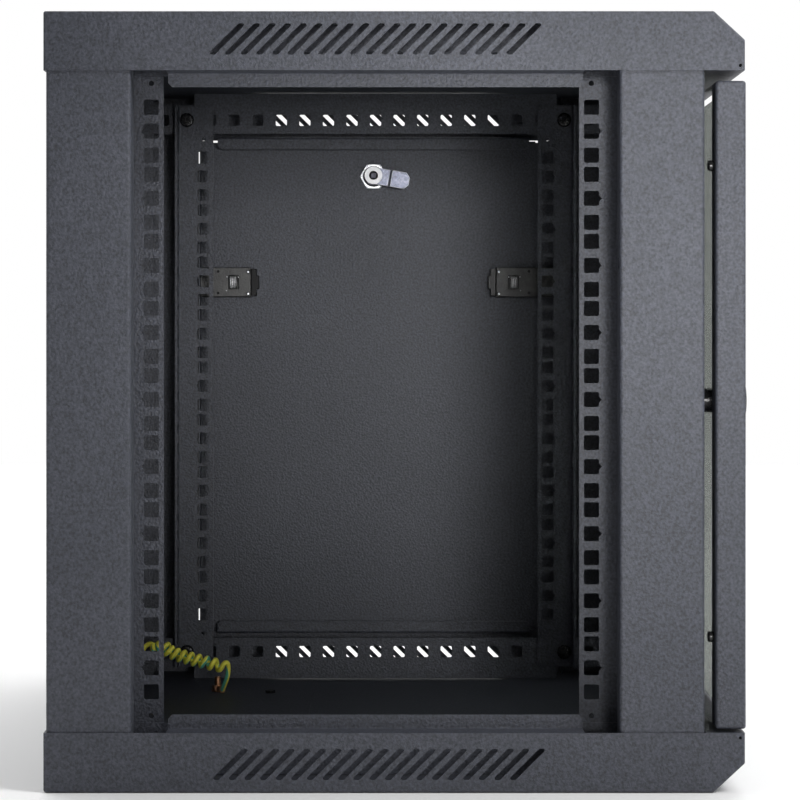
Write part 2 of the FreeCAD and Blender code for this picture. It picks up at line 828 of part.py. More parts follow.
def door_lock_parts():
    """Cam lock of the door: its axis lies along Y, and its cam stands upright when unlocked."""
    x = door_lock_x
    z = door_lock_z
    seat = door_front_y
    front = seat - lock_head_height
    rear = column_front_y - door_cam_gap
    inner = seat + panel_sheet
    barrel = lock_barrel((x, seat, z), (x, front, z), (x, rear, z))
    nut = hexagon((x, inner, z), (x, inner + lock_nut_height, z), lock_nut_across, lock_body_radius)
    cam_seat = column_front_y + column_sheet + door_cam_gap
    cam_far = cam_seat + cam_sheet
    plug = rod((x, front, z), (x, rear, z), lock_plug_radius)
    flat = lock_square / 2
    square = box((x - flat, rear, z - flat), (x + flat, cam_far, z + flat))
    slot = box((x - key_slot_length / 2, front - 1, z - key_slot_width / 2),
               (x + key_slot_length / 2, front + key_slot_depth, z + key_slot_width / 2))
    plug = joined([plug, square]).cut(slot)
    half = door_cam_width / 2
    arm = box((x - half, cam_seat, z), (x + half, cam_far, z + door_cam_length))
    arm_edges = [edge for edge in arm.Edges
                 if edge.BoundBox.YLength > cam_sheet / 2 and edge.BoundBox.ZMin > z + door_cam_length - 1e-3]
    arm = arm.makeFillet(half * 0.8, arm_edges)
    hole = box((x - flat, cam_seat, z - flat), (x + flat, cam_far, z + flat))
    cam = joined([rod((x, cam_seat, z), (x, cam_far, z), half), arm]).cut(hole)
    screw = rod((x, cam_far, z), (x, cam_far + cam_screw_height, z), cam_screw_radius)
    return {"door_lock_barrel": barrel, "door_lock_nut": nut, "door_lock_plug": plug,
            "door_lock_cam": cam, "door_lock_cam_screw": screw}


# ---------------------------------------------------------------- side panel
def side_panel():
    """Right side panel: flat plate with a fold inwards along each edge."""
    plate = box((panel_inner_x, panel_front_y, panel_bottom_z), (panel_outer_x, panel_rear_y, panel_top_z))
    outer_edges = [edge for edge in plate.Edges if edge.BoundBox.XMin > panel_outer_x - 1e-3]
    plate = plate.makeFillet(panel_sheet * 0.8, outer_edges)
    fold_x = panel_outer_x - panel_fold
    pieces = [plate]
    fold_rear = panel_rear_y - panel_fold_setback
    fold_front = panel_front_y + panel_fold_setback
    for low in (panel_bottom_z, panel_top_z - panel_sheet):
        pieces.append(box((fold_x, fold_front, low), (panel_inner_x, fold_rear, low + panel_sheet)))
    for edge_y, inward in ((panel_rear_y, -1), (panel_front_y, 1)):
        pieces.append(box((fold_x, edge_y, panel_bottom_z + panel_fold_setback),
                          (panel_inner_x, edge_y + inward * panel_sheet, panel_top_z - panel_fold_setback)))
    reach = latch_bolt_size / 2 + latch_slide_gap
    cutters = [rod((panel_outer_x + 1, panel_hardware_y, side_lock_z),
                   (panel_inner_x - 1, panel_hardware_y, side_lock_z), lock_body_radius)]
    for edge_y in (panel_rear_y, panel_front_y):
        cutters.append(box((latch_bolt_x - reach, edge_y - 3, latch_z - reach),
                           (latch_bolt_x + reach, edge_y + 3, latch_z + reach)))
    return joined(pieces).cut(group(cutters))


def latch_frame(front):
    """End towards the middle of the panel, and the direction from there to the column."""
    if front:
        return panel_front_y + panel_sheet + latch_front_length, -1
    return panel_rear_y - panel_sheet - latch_rear_length, 1


def latch_parts(front):
    """Spring latch: a housing on the panel, and a bolt whose handle shows at the inner end."""
    name = "latch_front" if front else "latch_rear"
    end_y, out = latch_frame(front)
    fold_y = panel_front_y + panel_sheet if front else panel_rear_y - panel_sheet
    column_y = opening_front_y if front else opening_rear_y
    half_z = latch_height / 2
    inner_x = panel_inner_x - latch_depth
    bolt_half = latch_bolt_size / 2

    def along(distance):
        return end_y + out * distance

    length = abs(fold_y - end_y)
    housing = box((inner_x, along(0), latch_z - half_z), (panel_inner_x, along(length), latch_z + half_z))
    rims = [edge for edge in housing.Edges if edge.BoundBox.XMax < inner_x + 1e-3]
    housing = housing.makeFillet(latch_round, rims)
    guide = bolt_half + latch_slide_gap
    channel = box((latch_bolt_x - guide, along(-1), latch_z - guide),
                  (latch_bolt_x + guide, along(length + 1), latch_z + guide))
    cavity_end = latch_web + latch_spring_length + latch_collar + latch_slide_gap
    cavity_half = latch_window_height / 2
    cavity = box((latch_bolt_x - cavity_half, along(latch_web), latch_z - cavity_half),
                 (latch_bolt_x + cavity_half, along(cavity_end), latch_z + cavity_half))
    window_start = latch_window_from_end - latch_window_length / 2
    window = box((inner_x - 1, along(window_start), latch_z - cavity_half),
                 (latch_bolt_x, along(window_start + latch_window_length), latch_z + cavity_half))
    housing = housing.cut(group([joined([channel, cavity, window])]))

    tip_y = column_y + out * (column_sheet + latch_engagement)
    handle_seat = -latch_slide_gap
    stem = box((latch_bolt_x - bolt_half, along(handle_seat), latch_z - bolt_half),
               (latch_bolt_x + bolt_half, tip_y, latch_z + bolt_half))
    collar_half = latch_window_height / 2 - latch_slide_gap
    collar_start = latch_web + latch_spring_length
    collar = box((latch_bolt_x - collar_half, along(collar_start), latch_z - collar_half),
                 (latch_bolt_x + collar_half, along(collar_start + latch_collar), latch_z + collar_half))
    handle = box((inner_x, along(handle_seat), latch_z - latch_handle_height / 2),
                 (panel_inner_x - latch_slide_gap, along(handle_seat - latch_handle_thickness),
                  latch_z + latch_handle_height / 2))
    tab_end = along(handle_seat - latch_handle_thickness - latch_tab_thickness)
    tab = box((inner_x, along(handle_seat), latch_z - latch_tab_height / 2),
              (panel_inner_x - latch_slide_gap, tab_end, latch_z + latch_tab_height / 2))
    bolt = joined([stem, collar, handle, tab])
    spring = coil_spring((latch_bolt_x, along(latch_web + latch_slide_gap), latch_z), (0, out, 0),
                         latch_spring_length - 2 * latch_slide_gap, collar_half, latch_spring_wire,
                         latch_spring_turns)
    return {name + "_housing": housing, name + "_bolt": bolt, name + "_spring": spring}


# ---------------------------------------------------------------- door
def clip_places():
    """Edge, height and outward direction of each glass clip."""
    return [(side * glass_half_width, z, side) for side in SIDES.values() for z in clip_rows]


def clip_stud_x(edge_x, side):
    return edge_x + side * (clip_gap + clip_sheet + (clip_foot - clip_sheet) / 2)


def door_frame(side):
    """Folded upright of the door, closed at both ends, with studs for the glass clips."""
    low = (-door_half_width, door_front_y, door_bottom_z)
    high = (door_half_width, door_rear_y, door_top_z)
    block = box(low, high)
    shell = block.makeFillet(door_edge_round, block.Edges)
    hollow = box((low[0] + panel_sheet, low[1] + panel_sheet, low[2] + panel_sheet),
                 (high[0] - panel_sheet, high[1] - panel_sheet, high[2] - panel_sheet))
    back = box((low[0] + door_return, hinge_y, low[2] + panel_sheet),
               (high[0] - door_return, high[1] + 1, high[2] - panel_sheet))
    inner_x = side * (door_half_width - door_border)
    rest = box((inner_x, low[1] - 1, low[2] - 1), (-side * (door_half_width + 1), high[1] + 1, high[2] + 1))
    cutters = [hollow, back, rest]
    if side > 0:
        pin_clear = hinge_pin_radius + running_clearance
        cutters.append(rod((hinge_x, hinge_y, high[2] - 3), (hinge_x, hinge_y, high[2] + 1), pin_clear))
        cutters.append(rod((hinge_x, hinge_y, low[2] - 1), (hinge_x, hinge_y, low[2] + 3), hinge_pin_radius))
    else:
        cutters.append(rod((door_lock_x, low[1] - 1, door_lock_z), (door_lock_x, low[1] + 3, door_lock_z),
                           lock_body_radius))
    pan = shell
    for cutter in cutters:
        pan = pan.cut(cutter)
    studs = []
    inner_y = low[1] + panel_sheet
    for edge_x, z, clip_side in clip_places():
        if clip_side == side:
            x = clip_stud_x(edge_x, side)
            studs.append(rod((x, inner_y - 0.2, z), (x, inner_y + clip_stud_length, z), clip_stud_radius))
    return joined([pan] + studs)


def door_seal():
    """Foam tape between the glass and each upright."""
    start = door_front_y + panel_sheet
    strips = []
    for side in SIDES.values():
        near = side * (door_half_width - door_border + seal_inset)
        strips.append(box((near, start, glass_low_z), (near + side * seal_width, start + seal_thickness,
                                                       glass_high_z)))
    return group(strips)


def door_glass():
    """Toughened pane between the uprights, with bare edges at the top and bottom."""
    start = door_front_y + panel_sheet + seal_thickness
    outline = [(-glass_half_width, glass_low_z), (glass_half_width, glass_low_z),
               (glass_half_width, glass_high_z), (-glass_half_width, glass_high_z)]
    return rounded_prism("XZ", outline, glass_corner, start, start + glass_thickness)


def glass_clips():
    """Stepped clips that press the glass on its tape, each held by a nut on a stud."""
    inner = door_front_y + panel_sheet
    glass_back = inner + seal_thickness + glass_thickness
    clips = []
    nuts = []
    for edge_x, z, side in clip_places():

        def slab(near, far, start_y, end_y):
            return box((edge_x + side * near, start_y, z - clip_width / 2),
                       (edge_x + side * far, end_y, z + clip_width / 2))

        riser_far = clip_gap + clip_sheet
        clip = joined([slab(-clip_bite, riser_far, glass_back, glass_back + clip_sheet),
                       slab(clip_gap, riser_far, inner, glass_back + clip_sheet),
                       slab(clip_gap, clip_gap + clip_foot, inner, inner + clip_sheet)])
        x = clip_stud_x(edge_x, side)
        clips.append(clip.cut(rod((x, inner - 1, z), (x, inner + clip_sheet + 1, z), clip_stud_radius)))
        nuts.append(hexagon((x, inner + clip_sheet, z), (x, inner + clip_sheet + clip_nut_height, z),
                            clip_nut_across, clip_stud_radius))
    return group(clips), group(nuts)


def door_buffers():
    """Rubber buffers on the door's edge, beside the column that it closes on."""
    x = -(door_half_width - buffer_inset)
    buffers = []
    for z in (-buffer_z, buffer_z):
        stem = rod((x, door_rear_y, z), (x, door_rear_y + buffer_height, z), buffer_radius)
        crown = [edge for edge in stem.Edges
                 if edge.BoundBox.YMin > door_rear_y + buffer_height - 1e-3]
        buffers.append(stem.makeFillet(buffer_radius * 0.4, crown))
    return group(buffers)


# ---------------------------------------------------------------- hinge
def hinge_brackets():
    """Small plates welded in the door's corners that guide the hinge pins."""
    x0 = hinge_x - hinge_inset + panel_sheet
    x1 = door_half_width - panel_sheet
    y0 = door_front_y + panel_sheet
    y1 = door_rear_y - panel_sheet
    reach = hinge_bracket_sheet + 1
    top = box((x0, y0, hinge_plate_top - hinge_bracket_sheet), (x1, y1, hinge_plate_top))
    top = top.cut(rod((hinge_x, hinge_y, hinge_plate_top - reach), (hinge_x, hinge_y, hinge_plate_top + 1),
                      hinge_pin_radius + running_clearance))
    low_z = door_bottom_z + panel_sheet
    low = box((x0, y0, low_z), (x1, y1, low_z + hinge_bracket_sheet))
    low = low.cut(rod((hinge_x, hinge_y, low_z - 1), (hinge_x, hinge_y, low_z + reach), hinge_pin_radius))
    return group([top, low])


def hinge_pin_top():
    """Sprung pin with a collar for its spring and a cross handle at its lower end."""
    top = skirt_edge + cover_sheet + hinge_pin_reach
    low = hinge_plate_top - hinge_bracket_sheet - hinge_tail
    pin = rod((hinge_x, hinge_y, low), (hinge_x, hinge_y, top), hinge_pin_radius)
    collar = rod((hinge_x, hinge_y, hinge_collar_low), (hinge_x, hinge_y, hinge_collar_top),
                 hinge_collar_radius)
    handle_z = low + hinge_handle_radius
    handle = rod((hinge_x, hinge_y, handle_z), (hinge_x - hinge_handle_length, hinge_y, handle_z),
                 hinge_handle_radius)
    return joined([pin, collar, handle])


def hinge_pin_spring():
    length = hinge_collar_low - hinge_plate_top - 2 * hinge_gap
    return coil_spring((hinge_x, hinge_y, hinge_plate_top + hinge_gap), (0, 0, 1), length,
                       hinge_collar_radius, hinge_spring_wire, hinge_spring_turns)


def hinge_pin_bottom():
    """Fixed lower pin that stands in the bottom cover's flange."""
    low = -(skirt_edge + cover_sheet + hinge_pin_reach)
    high = door_bottom_z + panel_sheet + hinge_bracket_sheet
    return rod((hinge_x, hinge_y, low), (hinge_x, hinge_y, high), hinge_pin_radius)


def hinge_washer():
    """Plastic washer that carries the door on the bottom cover."""
    low = -skirt_edge
    high = door_bottom_z - hinge_gap
    return tube((hinge_x, hinge_y, low), (hinge_x, hinge_y, high), hinge_washer_radius,
                hinge_pin_radius + running_clearance)


# ---------------------------------------------------------------- earthing
def ring_terminal(toward):
    """Ring terminal flat on XY round the origin, with its barrel along a direction in that plane."""
    ring = tube((0, 0, 0), (0, 0, earth_ring_sheet), earth_ring_radius, earth_stud_radius)
    start = earth_ring_radius + hinge_gap
    end = start + earth_barrel_length
    half = earth_tongue_width / 2
    tongue = box((earth_nut_across / 2, -half, 0), (start + half, half, earth_ring_sheet))
    barrel = rod((start, 0, earth_barrel_radius), (end, 0, earth_barrel_radius), earth_barrel_radius)
    terminal = joined([ring, tongue, barrel])
    turn = FreeCAD.Rotation(Vector(1, 0, 0), Vector(*toward))
    terminal.Placement = FreeCAD.Placement(Vector(0, 0, 0), turn)
    return terminal, turn.multVec(Vector(end, 0, earth_barrel_radius))


def earth_parts():
    """Floor and rear studs with their nuts and ring terminals."""
    floor_x, floor_y = floor_stud_xy
    rear_x = rear_stud_x
    rear_z = floor_z + rear_stud_rise
    floor_tip = (floor_x, floor_y, floor_z + earth_stud_length)
    rear_tip = (rear_x, -cover_sheet - earth_stud_length, rear_z)
    studs = [rod((floor_x, floor_y, floor_z), floor_tip, earth_stud_radius),
             rod((rear_x, -cover_sheet, rear_z), rear_tip, earth_stud_radius)]
    floor_seat = floor_z + earth_ring_sheet
    rear_seat = -cover_sheet - earth_ring_sheet
    nuts = [hexagon((floor_x, floor_y, floor_seat), (floor_x, floor_y, floor_seat + earth_nut_height),
                    earth_nut_across, earth_stud_radius),
            hexagon((rear_x, rear_seat, rear_z), (rear_x, rear_seat - earth_nut_height, rear_z),
                    earth_nut_across, earth_stud_radius)]
    turn = math.radians(floor_barrel_angle)
    toward = (math.cos(turn), math.sin(turn), 0)
    floor_ring, floor_mouth = ring_terminal(toward)
    floor_ring.translate(Vector(floor_x, floor_y, floor_z))
    floor_mouth = floor_mouth + Vector(floor_x, floor_y, floor_z)
    rear_ring, rear_mouth = ring_terminal((0, 1, 0))
    upright = FreeCAD.Placement(Vector(rear_x, -cover_sheet, rear_z), FreeCAD.Rotation(Vector(1, 0, 0), 90))
    rear_ring.Placement = upright.multiply(rear_ring.Placement)
    rear_mouth = upright.multVec(rear_mouth)
    parts = {"earth_studs": group(studs), "earth_nuts": group(nuts),
             "earth_terminals": group([floor_ring, rear_ring])}
    return parts, floor_mouth, rear_mouth


def wire_tail(points):
    """Round wire along straight runs joined by arcs as large as the runs allow."""
    points = [Vector(*point) for point in points]
    radii = [0]
    for index in range(1, len(points) - 1):
        back = points[index - 1] - points[index]
        ahead = points[index + 1] - points[index]
        turn = math.pi - back.getAngle(ahead)
        radii.append(0.45 * min(back.Length, ahead.Length) / math.tan(turn / 2))
    radii.append(0)
    print("wire radii", [round(radius, 1) for radius in radii[1:-1]])
    path = Part.Wire(rounded_edges(points, radii))
    head = points[1] - points[0]
    section = Part.Wire(Part.makeCircle(wire_diameter / 2, points[0], head))
    solid = path.makePipeShell([section], True, False)
    expected = math.pi * wire_diameter ** 2 / 4 * path.Length
    print("wire volume over section times length", round(solid.Volume / expected, 4))
    return solid


def above_floor(points):
    """Points given by their height above the floor, in the cabinet's frame."""
    return [(x, y, floor_z + rise) for x, y, rise in points]


def earth_wire(floor_mouth, rear_mouth):
    """Curly wire's outer tube, and the plain wire from each end of it to its terminal."""
    coil_ends = above_floor([coil_rear, coil_front])
    coil = rod(coil_ends[0], coil_ends[1], coil_diameter / 2)
    front_route = above_floor([coil_front, *front_turns]) + [tuple(floor_mouth)]
    rear_route = above_floor([coil_rear, *rear_turns]) + [tuple(rear_mouth)]
    return {"earth_wire_coil": coil, "earth_wire_front": wire_tail(front_route),
            "earth_wire_rear": wire_tail(rear_route)}


# ---------------------------------------------------------------- assembly
def build():
    """Every sub-part by its node name."""
    parts = {"top_cover": top_cover(), "bottom_cover": bottom_cover(), "rear_panel": rear_panel(),
             "top_entry_plate": entry_plate(1), "bottom_entry_plate": entry_plate(-1),
             "entry_plate_screws": entry_screws()}
    for side_name, side in SIDES.items():
        parts["column_front_" + side_name] = column(side, True)
        parts["column_rear_" + side_name] = column(side, False)
        parts["rail_front_" + side_name] = rail(side, True)
        parts["rail_rear_" + side_name] = rail(side, False)
        parts["depth_bar_top_" + side_name] = depth_bar(side, 1)
        parts["depth_bar_bottom_" + side_name] = depth_bar(side, -1)
    parts["rail_bolts"], parts["rail_nuts"] = rail_fixings()
    parts["side_panel_right"] = side_panel()
    parts.update(side_lock_parts())
    parts.update(latch_parts(True))
    parts.update(latch_parts(False))
    parts["door_frame_left"] = door_frame(-1)
    parts["door_frame_right"] = door_frame(1)
    parts["door_seal"] = door_seal()
    parts["door_glass"] = door_glass()
    parts["glass_clips"], parts["glass_clip_nuts"] = glass_clips()
    parts["door_buffers"] = door_buffers()
    parts.update(door_lock_parts())
    parts["hinge_brackets"] = hinge_brackets()
    parts["hinge_pin_top"] = hinge_pin_top()
    parts["hinge_pin_spring"] = hinge_pin_spring()
    parts["hinge_pin_bottom"] = hinge_pin_bottom()
    parts["hinge_washer"] = hinge_washer()
    studs, floor_mouth, rear_mouth = earth_parts()
    parts.update(studs)
    parts.update(earth_wire(floor_mouth, rear_mouth))
    return parts


def main():
    os.makedirs("parts", exist_ok=True)
    for name, shape in build().items():
        if not shape.isValid() or shape.Volume <= 0:
            print("bad shape", name, shape.Volume)
        shape.exportStep("parts/" + name + ".step")
        print(name, len(shape.Solids), round(shape.Volume, 1))


main()
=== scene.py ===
# %% [markdown]
# # A wall mount network cabinet, dressed
# The cabinet comes from its CAD source as separate sheet metal parts that stand where the
# workshop would mount them. This notebook gives each part its finish. It also models by hand
# the small parts whose CAD solid is too plain: the curly earth wire, the side panel's cam
# lock, the springs, the latches' rivets and the rail screws. The scene is in metres, and Z
# is up. The open left side faces -X, the wall is at Y = 0, and the door closes the -Y end.

# %% Load the cabinet
import math
import json
import bpy
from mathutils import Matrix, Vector

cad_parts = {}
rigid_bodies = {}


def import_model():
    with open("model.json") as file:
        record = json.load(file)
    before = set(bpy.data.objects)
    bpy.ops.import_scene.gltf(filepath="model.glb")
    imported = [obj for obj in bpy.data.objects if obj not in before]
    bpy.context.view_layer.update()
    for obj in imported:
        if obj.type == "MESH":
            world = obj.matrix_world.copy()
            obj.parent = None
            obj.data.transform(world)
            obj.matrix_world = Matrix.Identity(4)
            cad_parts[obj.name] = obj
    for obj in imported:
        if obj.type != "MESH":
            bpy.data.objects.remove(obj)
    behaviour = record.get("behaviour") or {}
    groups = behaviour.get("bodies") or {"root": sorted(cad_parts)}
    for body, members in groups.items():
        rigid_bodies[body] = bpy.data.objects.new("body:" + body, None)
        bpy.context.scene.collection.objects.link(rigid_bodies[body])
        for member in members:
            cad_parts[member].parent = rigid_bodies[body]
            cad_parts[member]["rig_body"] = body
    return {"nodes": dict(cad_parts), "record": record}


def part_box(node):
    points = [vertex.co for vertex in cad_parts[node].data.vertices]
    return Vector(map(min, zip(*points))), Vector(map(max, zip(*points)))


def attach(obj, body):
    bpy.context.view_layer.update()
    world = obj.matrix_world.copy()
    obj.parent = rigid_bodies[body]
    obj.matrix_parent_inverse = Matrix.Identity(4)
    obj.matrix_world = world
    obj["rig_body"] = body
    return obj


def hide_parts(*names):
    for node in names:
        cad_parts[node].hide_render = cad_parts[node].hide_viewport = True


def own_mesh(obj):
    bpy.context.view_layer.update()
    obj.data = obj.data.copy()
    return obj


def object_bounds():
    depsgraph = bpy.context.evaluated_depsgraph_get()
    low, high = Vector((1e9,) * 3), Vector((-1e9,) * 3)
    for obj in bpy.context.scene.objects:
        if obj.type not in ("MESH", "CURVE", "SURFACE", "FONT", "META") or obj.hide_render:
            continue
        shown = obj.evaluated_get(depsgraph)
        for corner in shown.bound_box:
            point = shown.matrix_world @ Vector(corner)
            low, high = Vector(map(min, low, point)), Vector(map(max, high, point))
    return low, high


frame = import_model()
cad_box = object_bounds()
print("CAD parts:", len(frame["nodes"]), "from", cad_box[0][:], "to", cad_box[1][:])

# %% [markdown]
# ## The camera
# The cabinet is looked at square on to its open left side, from two metres before its middle
# and a little above it. A long lens and a level camera keep the uprights upright. To centre
# the cabinet, the lens is shifted and the camera stays level, because tilting it would make
# the uprights lean.

# %% Camera
camera_place = (-1.974, -0.2226, 0.041)
camera_lens, camera_sensor = 117.54, 36
camera_shift_x, camera_shift_y = 0.012, -0.0779

bpy.ops.object.select_all(action="DESELECT")
bpy.ops.object.camera_add(
    location=camera_place, rotation=(math.radians(90), 0, math.radians(-90)))
camera = bpy.context.object
camera.data.lens = camera_lens
camera.data.sensor_width = camera_sensor
camera.data.shift_x = camera_shift_x
camera.data.shift_y = camera_shift_y
bpy.context.scene.camera = camera
print("camera at", camera.location[:])

# %% [markdown]
# ## A studio for black sheet metal
# Black sheet metal shows little but what it reflects, so its surroundings matter more than
# its lamps. The world is a studio that is white behind the cabinet and darker on the
# camera's side. It could be a picture of a real studio wrapped round the scene. A plain fade
# along X does as well here, and its two ends are easy to set. The view transform is
# Standard, so a black finish stays as dark as it is mixed.

# %% Studio world
dark_side, bright_side = 0.15, 1.0
fade_start, fade_end = -0.5, 0.6

scene = bpy.context.scene
scene.view_settings.view_transform = "Standard"
world = bpy.data.worlds.new("studio")
world.use_nodes = True
studio, joins = world.node_tree.nodes, world.node_tree.links
facing = studio.new("ShaderNodeTexCoord")
axes = studio.new("ShaderNodeSeparateXYZ")
fade = studio.new("ShaderNodeMapRange")
fade.inputs["From Min"].default_value = fade_start
fade.inputs["From Max"].default_value = fade_end
fade.inputs["To Min"].default_value = dark_side
fade.inputs["To Max"].default_value = bright_side
joins.new(facing.outputs["Generated"], axes.inputs["Vector"])
joins.new(axes.outputs["X"], fade.inputs["Value"])
joins.new(fade.outputs["Result"], studio["Background"].inputs["Strength"])
studio["Background"].inputs["Color"].default_value = (1.0, 1.0, 1.0, 1.0)
scene.world = world
print("world", world.name)

# %% [markdown]
# ## Lamps
# A softbox hangs overhead. A second one lights the floor behind the cabinet, so that the
# floor stays white to the horizon. A third stands close at the upper right of the view, and
# its light fades towards the lower left. Two soft spots beside the camera shine in through
# the open side. Spots are used here because they reach deep into the cabinet and leave the
# rest of the scene alone.

# %% Softboxes and spots


def lamp(kind, name, place, aim, power):
    """A light at a place, turned to shine at a point."""
    bpy.ops.object.light_add(type=kind, location=place)
    light = bpy.context.object
    light.name = name
    light.data.energy = power
    light.rotation_euler = (Vector(aim) - Vector(place)).to_track_quat("-Z", "Y").to_euler()
    return light


def softbox(name, place, aim, size, power):
    """A square area light that the camera itself doesn't see."""
    light = lamp("AREA", name, place, aim, power)
    light.data.size = size
    light.visible_camera = False
    return light


def soft_spot(name, place, aim, angle, power):
    """A spot light with a soft rim and soft shadows."""
    light = lamp("SPOT", name, place, aim, power)
    light.data.spot_size = math.radians(angle)
    light.data.spot_blend = 1.0
    light.data.shadow_soft_size = 0.15
    return light


lights = [
    softbox("overhead_softbox", (0.5, -0.2, 2.4), aim=(0.3, -0.2, 0), size=2.4, power=26),
    softbox("floor_softbox", (3.2, -0.2, 2.4), aim=(3.2, -0.2, 0), size=4.0, power=80),
    softbox("side_softbox", (-1.0, -1.35, 1.2), aim=(-0.3, -0.40, 0.22), size=0.6, power=21),
    soft_spot("inside_spot", (-2.6, -0.64, 0.10), aim=(0.3, -0.22, 0.06), angle=18, power=95),
    soft_spot("wide_spot", (-2.6, -0.50, 0.30), aim=(-0.3, -0.40, 0.16), angle=17, power=75),
]
print("lights", [light.name for light in lights])

# %% [markdown]
# ## The floor
# A plain pale plane lies half a millimetre under the cabinet. It is wide enough to run
# behind it to the white of the world, so no edge of it shows.

# %% Floor
floor_size, floor_gap = 8, 0.0005
floor_height = cad_box[0].z - floor_gap

bpy.ops.mesh.primitive_plane_add(size=floor_size, location=(0, 0, floor_height))
floor = bpy.context.object
floor.name = "floor"
pale = bpy.data.materials.new("pale_floor")
pale.use_nodes = True
pale_shader = pale.node_tree.nodes["Principled BSDF"]
pale_shader.inputs["Base Color"].default_value = (0.95, 0.95, 0.95, 1)
pale_shader.inputs["Roughness"].default_value = 0.8
floor.data.materials.append(pale)
print("floor at", round(floor_height, 4))

# %% [markdown]
# ## Nodes for finishes
# Every finish is made from nodes, because an image would have to be kept beside the file. A
# few helpers make the nodes that come back in each finish: noise on the object's own
# coordinates, a value stretched to another range, a sum, and a bump.

# %% Helpers for nodes


def new_material(name):
    """A material with nodes, its node tree and its shader."""
    material = bpy.data.materials.new(name)
    material.use_nodes = True
    return material, material.node_tree, material.node_tree.nodes["Principled BSDF"]


def noise(tree, place, scale, detail):
    """Noise on the object's own coordinates."""
    texture = tree.nodes.new("ShaderNodeTexNoise")
    texture.inputs["Scale"].default_value = scale
    texture.inputs["Detail"].default_value = detail
    tree.links.new(place.outputs["Object"], texture.inputs["Vector"])
    return texture.outputs["Fac"]


def stretch(tree, value, low, high, start=0.0, end=1.0, kind="LINEAR"):
    """A value between start and end, stretched to run from low to high."""
    spread = tree.nodes.new("ShaderNodeMapRange")
    spread.interpolation_type = kind
    numbers = {"From Min": start, "From Max": end, "To Min": low, "To Max": high}
    for socket, number in numbers.items():
        spread.inputs[socket].default_value = number
    tree.links.new(value, spread.inputs["Value"])
    return spread.outputs["Result"]


def add(tree, first, second):
    """The sum of a value and a number, or of two values."""
    total = tree.nodes.new("ShaderNodeMath")
    total.operation = "ADD"
    tree.links.new(first, total.inputs[0])
    if isinstance(second, float):
        total.inputs[1].default_value = second
    else:
        tree.links.new(second, total.inputs[1])
    return total.outputs["Value"]


def emboss(tree, shader, height, strength, depth):
    """Bends the shader's normals as if the surface had this height."""
    bump = tree.nodes.new("ShaderNodeBump")
    bump.inputs["Strength"].default_value = strength
    bump.inputs["Distance"].default_value = depth
    tree.links.new(height, bump.inputs["Height"])
    tree.links.new(bump.outputs["Normal"], shader.inputs["Normal"])


print("node helpers ready")

# %% [markdown]
# ## A recipe for finishes
# One recipe serves most finishes, with other numbers for each. A coarse noise lets the
# colour wander between two tones, so no face is quite even. A noise of pebbles, a little
# coarser than the grain, darkens and lightens that colour. A noise as fine as the real grain
# varies the roughness. The last two are added in the bump, because one noise alone looks too
# regular.

# %% The recipe
tone_start, tone_end = 0.35, 0.65
pebble_start, pebble_end = 0.3, 0.7
pebble_share = 0.9
roughness_swing = 0.08
bump_strength = 0.5


def finish(name, dark, light, patch, roughness, grain, depth, metallic=0.0, speckle=0.0):
    """A material whose colour wanders between two tones, with a fine bump and speckles."""
    material, tree, shader = new_material(name)
    shader.inputs["Metallic"].default_value = metallic
    place = tree.nodes.new("ShaderNodeTexCoord")
    tones = tree.nodes.new("ShaderNodeValToRGB")
    for element, at, tone in zip(tones.color_ramp.elements, (tone_start, tone_end), (dark, light)):
        element.position = at
        element.color = (*tone, 1)
    tree.links.new(noise(tree, place, patch, detail=4), tones.inputs["Fac"])
    pebbles = noise(tree, place, grain * pebble_share, detail=2)
    speckled = tree.nodes.new("ShaderNodeVectorMath")
    speckled.operation = "SCALE"
    tree.links.new(tones.outputs["Color"], speckled.inputs[0])
    tree.links.new(stretch(tree, pebbles, 1 - speckle, 1 + speckle, pebble_start, pebble_end),
                   speckled.inputs["Scale"])
    tree.links.new(speckled.outputs["Vector"], shader.inputs["Base Color"])
    grit = noise(tree, place, grain, detail=3)
    rough = stretch(tree, grit, roughness - roughness_swing, roughness + roughness_swing)
    tree.links.new(rough, shader.inputs["Roughness"])
    emboss(tree, shader, add(tree, grit, pebbles), bump_strength, depth)
    return material


print("recipe ready")

# %% [markdown]
# ## Powder coat
# All sheet metal of the cabinet has one finish. Textured powder melts into small, round
# grains about a millimetre across, so the sheet looks like very fine leather. Its black has
# a little blue in it, and the speckles are strong.

# %% Powder coat
looks = {"powder_coat": finish("powder_coat", (0.042, 0.046, 0.060), (0.053, 0.057, 0.073),
                               patch=7, roughness=0.5, grain=620, depth=0.0009, speckle=0.42)}
print(looks["powder_coat"].name)

# %% [markdown]
# ## Metals and plastics
# The small parts are zinc plated, blackened or coppery steel, and black or grey plastic. They
# are small, so their finishes need only the right brightness and gloss. Each is one row of
# numbers for the recipe. Three blacks get a weaker mirror image than is usual, because they
# lie deep inside and would look grey there. The door's glass lets light through. The
# insulation in this table is for the plain CAD wire, and the drawn wire gets a striped one.

